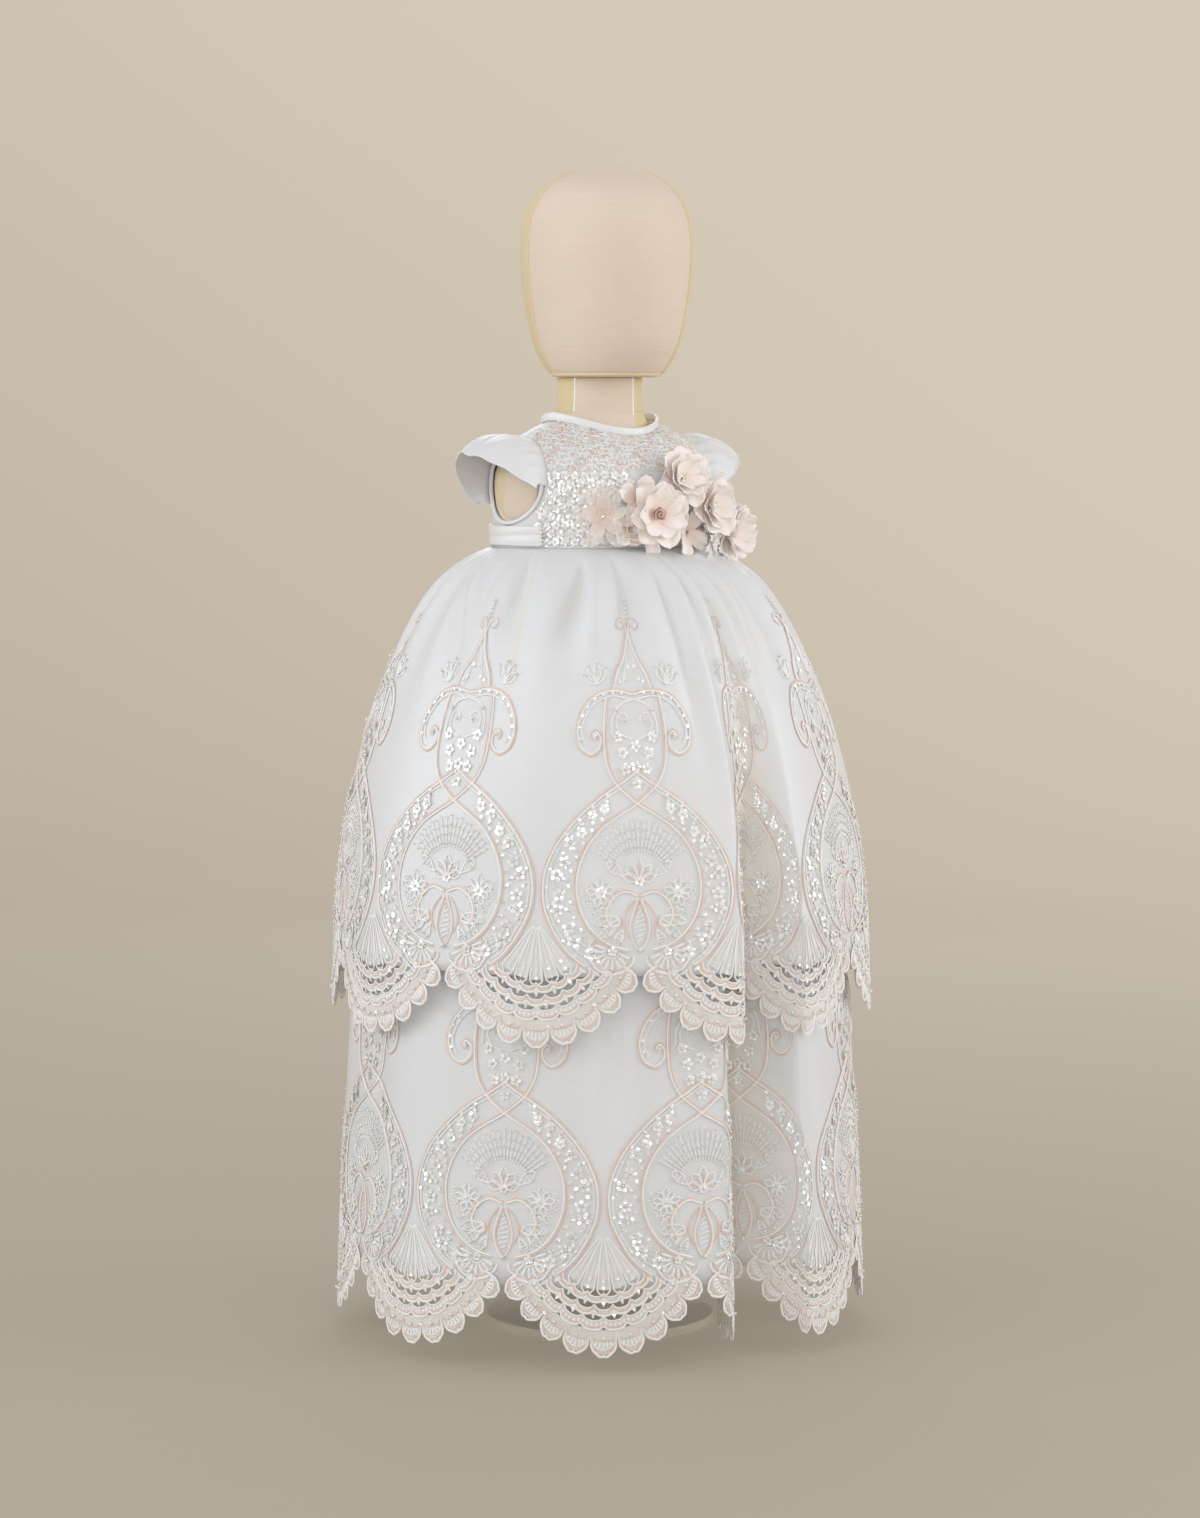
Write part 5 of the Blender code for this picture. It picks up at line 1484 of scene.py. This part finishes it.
def petal_ring(axes, count, length, width, cup, start_deg, lift, rng, rows=12, columns=11, point=0.0):
    """Petals round a heart. Width follows a sine of the length, tips are round, edges cup and ruffle."""
    middle, right, up, ahead = axes
    outward = np.sin(np.linspace(0.0, math.pi / 2, rows))
    s, t = np.meshgrid(outward, np.linspace(-1, 1, columns), indexing="ij")
    points, faces, tint_and_painted_light, uv = [], [], [], []
    for i in range(count):
        swing = math.radians(start_deg) + TURN * i / count + rng.uniform(-0.10, 0.10)
        long = length * rng.uniform(0.92, 1.06)
        wide = width * rng.uniform(0.92, 1.08)
        rise = cup * rng.uniform(0.8, 1.25)
        half = wide / 2 * np.sin(math.pi * (0.07 + 0.90 * s ** 1.25)) ** (0.52 + point)
        reach = long * (0.06 + 0.94 * s) * (1 - 0.06 * t * t * s ** 3)
        reach = reach - 0.04 * long * np.exp(-((t / 0.4) ** 2)) * s ** 9 * (1 - point)
        across = half * t
        wave = 0.035 * long * np.sin(3.1 * t * 2 + rng.uniform(0, 6)) * s ** 2
        height = long * rise * s ** 1.5 + 0.30 * half * t * t * (0.5 + s) + wave - 0.16 * long * s ** 5
        radial = math.cos(swing) * right + math.sin(swing) * up
        around = -math.sin(swing) * right + math.cos(swing) * up
        grid = middle + (reach[..., None] * radial + across[..., None] * around
                         + (height + lift + 0.5 * (i % 2))[..., None] * ahead) * MM
        faces.append(grid_quads(rows, columns, first=i * rows * columns))
        points.append(grid.reshape(-1, 3))
        tint_and_painted_light.append(np.clip(0.9 * (1 - s) ** 2.2 + 0.12 * np.abs(np.sin(7 * t)) * (1 - s), 0, 1).ravel())
        uv.append(np.stack([across, reach], -1).reshape(-1, 2) * UV_PER_MM)
    return np.concatenate(points), np.concatenate(faces), np.concatenate(tint_and_painted_light), np.concatenate(uv)


def rolled_heart(axes, radius, height, turns, lift, steps=70, rows=5):
    """A strip wound into a spiral, standing on the heart and a little open at its top."""
    middle, right, up, ahead = axes
    share = np.linspace(0.05, 1, steps)
    swing = TURN * turns * share
    reach = radius * share ** 0.8 * (1 + 0.07 * np.sin(5 * swing))
    rise = np.linspace(0, 1, rows)[:, None]
    out = reach * (0.75 + 0.35 * rise)
    lean = height * rise * (1.1 - 0.45 * share) + 0.5 * np.sin(3 * swing) * rise
    points = middle + ((out * np.cos(swing))[..., None] * right + (out * np.sin(swing))[..., None] * up
                       + (lean + lift)[..., None] * ahead) * MM
    uv = np.stack([np.broadcast_to(swing * radius, out.shape), np.broadcast_to(rise * height, out.shape)], -1)
    tint_and_painted_light = np.broadcast_to(0.8 * (1 - rise), out.shape)
    return points.reshape(-1, 3), grid_quads(rows, steps), tint_and_painted_light.ravel(), uv.reshape(-1, 2) * UV_PER_MM


# Loose petals: place across, height, distance out, lean, and the angle where each cluster starts
LOOSE_PETALS = (
    (10, 672, 6, 0.0, 100), (-20, 662, 5, 0.0, 150), (58, 664, 12, 0.2, 30), (24, 636, 10, 0, 240),
    (56, 634, 10, 0.0, 210), (36, 676, 6, 0.1, 60), (-8, 636, 6, 0.0, 260),
)


def petal_piece(name, parts, material, wall=0.35):
    """One mesh piece from several rings of petals or rolled strips."""
    points, faces, tint_and_painted_light, uv = joined(parts)
    return put(f"corsage_{name}", points, faces, material, "petals", uv, {"tint_and_painted_light": tint_and_painted_light}, wall)


def make_corsage():
    rng = np.random.default_rng(11)
    pearls, radii = [], []
    for name, node_name, *place, count, length, width, cup, layers in PETAL_BLOOMS:
        axes, side = bloom_axes(*place), place[0]
        rings = [petal_ring(axes, count, length, width, cup, 20 + 31 * side, 0.0, rng)]
        for layer in range(1, layers + 1):
            shrink = 1 - 0.24 * layer
            rings.append(petal_ring(axes, count - (layer > 1), length * shrink, width * shrink * 1.05,
                                    cup + 0.32 * layer, 50 + 31 * side + 25 * layer, 1.0 * layer, rng))
        bloom = petal_piece(f"{name}_petals", rings, PETALS)
        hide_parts(node_name)
        if name in ("main", "side"):
            heart = rolled_heart(axes, 6.2 if name == "main" else 4.6, 7.0, 2.6, 3.0)
            petal_piece(f"{name}_heart", [heart], PETAL_HEART, 0.3)
        else:
            spots, crown = (13, 6.5) if name == "pearl" else (9, 5.0)
            for i in range(spots):
                reach = 5.6 * math.sqrt((i + 0.4) / spots)
                pearls.append(from_heart(axes, reach, i * GOLDEN_ANGLE, crown - 0.06 * reach ** 2))
                radii.append(1.9 if i % 3 else 1.3)
    axes = bloom_axes(-28, 640, 6.5, -0.05, 0.05)
    rolls = [rolled_heart(axes, 15.0, 8.0, 3.4, 0.0, 150, 6), petal_ring(axes, 5, 17, 15, 0.35, 10, 0.5, rng)]
    rosette = petal_piece("ribbon_rosette", rolls, PETALS)
    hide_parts("corsage_rosette")
    axes = bloom_axes(-46, 648, 5.0, -0.1, 0.1)
    fans = [petal_ring(axes, 6, 27, 14, 0.25, 60, 0.0, rng), petal_ring(axes, 5, 19, 12, 0.5, 95, 1.0, rng)]
    fans = [(points, faces[:, ::-1], *values) for points, faces, *values in fans]
    sheer = petal_piece("sheer_petals", fans, PETAL_SHEER, 0.0)
    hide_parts("corsage_petals")
    axes = bloom_axes(40, 628, 21.0, 0.2, -0.25)
    petal_piece("star_petals", [petal_ring(axes, 8, 15, 5.5, 0.25, 12, 0.0, rng, 8, 5, 0.8)], PETAL_WHITE)
    for i in range(16):
        reach, swing = (3.0, i * 2.4) if i < 7 else (9.0 + 2.5 * (i % 3), i * 0.7)
        pearls.append(from_heart(axes, reach, swing, 4.2 - 0.1 * reach))
        radii.append(1.35)
    for side, height, out, lean, start in LOOSE_PETALS:
        loose = petal_ring(bloom_axes(side, height, out, lean, 0.1), 4, 21, 16, 0.35, start, 0.0, rng)
        petal_piece(f"loose_petals_{start}", [loose], PETALS)
    put("corsage_pearls", *ball_arrays(np.array(pearls), radii, 10, 6), BEADS, "petals")


# The stand's outlines: radius and height of each corner
BASE_PROFILE = (
    (0.02, 0.0), (89.0, 0.0), (91.2, 0.7), (92.0, 2.2), (92.0, 5.8), (91.2, 7.3), (89.0, 8.0), (30.0, 8.0),
    (0.02, 8.0),
)
POLE_PROFILE = ((0.02, 8.3), (8.0, 8.3), (8.0, 559.7), (0.02, 559.7))


def make_stand():
    """The stand, turned round: a low base with a soft edge, and the pole."""
    # Painted light: the paint glows faintly, though it is no lamp, which lifts the base out of the gown's
    # shadow
    made, tree, shader, places = start_material(
        "stand_paint_with_painted_glow", 0.45, Coat_Weight=0.15, Emission_Color=(0.80, 0.72, 0.60), Emission_Strength=0.12)
    feed(tree, shader["Base Color"], drift(tree, places, 22.0, (0.52, 0.47, 0.385), (0.50, 0.45, 0.37)))
    grain = node(tree, "ShaderNodeTexNoise", {"Vector": places["Object"], "Scale": 240.0})
    bump_to(tree, shader, grain.outputs["Fac"], 0.12, 0.0006)
    for name, profile in (("base", BASE_PROFILE), ("pole", POLE_PROFILE)):
        points = turned(profile) * MM
        piece = put(f"stand_{name}_painted", points, grid_quads(len(profile), 96, wrap=True), made, "stand")
        piece.data.set_sharp_from_angle(angle=math.radians(40))
        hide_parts(f"stand_{name}")


# The room: where the flat floor ends, the bend's start and radii, and the wall's place and top, in metres
FLOOR_END_M, BEND_START_M, BEND_M = 3.2, 3.4, 2.2
WALL_M, WALL_TOP_M = 5.6, 6.0


def make_room():
    """A pale floor that rises in one curve into a round wall. The camera stands inside it. It glows with
    painted light: darker near the gown, lighter farther out and up the wall, and lighter towards one side.
    """
    made, tree, shader, places = start_material(
        "studio_floor", 0.9, Specular_IOR_Level=0.1, Emission_Strength=1.0)
    tone = drift(tree, places, 0.7, FLOOR_BEIGE, tuple(0.97 * c for c in FLOOR_BEIGE))
    feed(tree, shader["Base Color"], tone)
    feed(tree, shader["Emission Color"], blend_node(tree, attribute(tree, "room_painted_light"), ROOM_PAINTED_LIGHT_LOW, ROOM_PAINTED_LIGHT_HIGH))
    bend = np.linspace(0, math.pi / 2, 14)
    flat = np.linspace(0.01, FLOOR_END_M, 14)
    reach = np.concatenate([flat, BEND_START_M + BEND_M * np.sin(bend), [WALL_M]])
    rise = np.concatenate([0 * flat, BEND_M - BEND_M * np.cos(bend), [WALL_TOP_M]])
    points = turned(np.stack([reach, rise], -1))
    near = np.minimum(reach, BEND_START_M)
    # Painted light: the glow is darker near the gown, lighter farther out and up the wall, and lighter
    # towards one side
    room_painted_light = np.interp(near, *FLOOR_PAINTED_LIGHT) + np.interp(rise, *WALL_PAINTED_LIGHT)
    toward_painted_light_side = points[..., 0] * math.cos(PAINTED_LIGHT_SIDE) + points[..., 1] * math.sin(PAINTED_LIGHT_SIDE)
    toward_painted_light_side = np.clip(toward_painted_light_side, -1.6, 1.6)
    room_painted_light = np.clip(room_painted_light[:, None] + 0.13 * toward_painted_light_side * (0.3 + 0.7 * near / BEND_START_M)[:, None], 0, 1.3)
    floor = put("floor", points, grid_quads(len(reach), 96, wrap=True), made, "stand",
                values={"room_painted_light": room_painted_light.ravel()})
    del floor["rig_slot"]


def make_light(name, azimuth, elevation, distance, size, power):
    """A soft square light, a little cool, that looks at the middle of the gown."""
    lamp = bpy.data.lights.new(name, "AREA")
    lamp.shape, lamp.size, lamp.energy, lamp.color = "SQUARE", size, power, COOL
    made = bpy.data.objects.new(name, lamp)
    bpy.context.scene.collection.objects.link(made)
    place_looking(made, azimuth, elevation, distance)


MIDDLE = (0, 0, 0.453)
CAMERA_TARGET = (0.0013, 0.0010, 0.453)


def place_looking(thing, azimuth, elevation, distance, target=MIDDLE):
    """Puts a thing at a distance from a target, at an azimuth and elevation in degrees, facing the target."""
    a, e = math.radians(azimuth), math.radians(elevation)
    back = Vector((math.sin(a) * math.cos(e), -math.cos(a) * math.cos(e), math.sin(e)))
    thing.location = Vector(target) + back * distance
    thing.rotation_mode = "QUATERNION"
    thing.rotation_quaternion = (-back).to_track_quat("-Z", "Y")


COOL = (0.76, 0.87, 1.0)
# Lights: name, azimuth, elevation, distance, size in metres, power. Then small glints: azimuth, elevation
LIGHTS = (
    ("key", -84, 30, 2.6, 1.5, 12.5),
    ("left_side", -120, 14, 2.6, 1.2, 16),
    ("right_side", 44, 14, 2.6, 1.2, 24),
    ("front", -36, 3, 4.2, 1.3, 36),
    ("top", -38, 80, 2.4, 1.8, 2),
    ("back", 140, 24, 2.6, 1.4, 12),
)
GLINTS = ((-62, 20), (-20, 34), (-48, 50), (150, 30), (60, 30))


def make_camera_and_lights():
    camera = bpy.data.objects.new("camera", bpy.data.cameras.new("camera"))
    bpy.context.scene.collection.objects.link(camera)
    camera.data.lens = 103.8
    camera.data.clip_end = 60.0
    place_looking(camera, -38.0, 4.5, 3.5, CAMERA_TARGET)
    bpy.context.scene.camera = camera
    for light in LIGHTS:
        make_light(*light)
    for i, (azimuth, elevation) in enumerate(GLINTS):
        make_light(f"glint_{i + 1}", azimuth, elevation, 2.8, 0.16, 1.6)
    world = bpy.data.worlds.new("studio")
    world.use_nodes = True
    world.node_tree.nodes["Background"].inputs["Color"].default_value = (0.95, 0.96, 1.0, 1)
    world.node_tree.nodes["Background"].inputs["Strength"].default_value = 0.45
    bpy.context.scene.world = world
    bpy.context.scene.view_settings.view_transform = "Standard"


def main():
    main_skirts()
    edging_lace("overskirt", OVER, OVER_CREASES, True)
    edging_lace("underskirt", UNDER, UNDER_CREASES, False)
    make_form()
    make_bodice()
    make_bodice_lace()
    make_bindings()
    make_sleeves()
    make_sash()
    make_buttons()
    make_corsage()
    make_stand()
    make_room()
    make_camera_and_lights()


main()
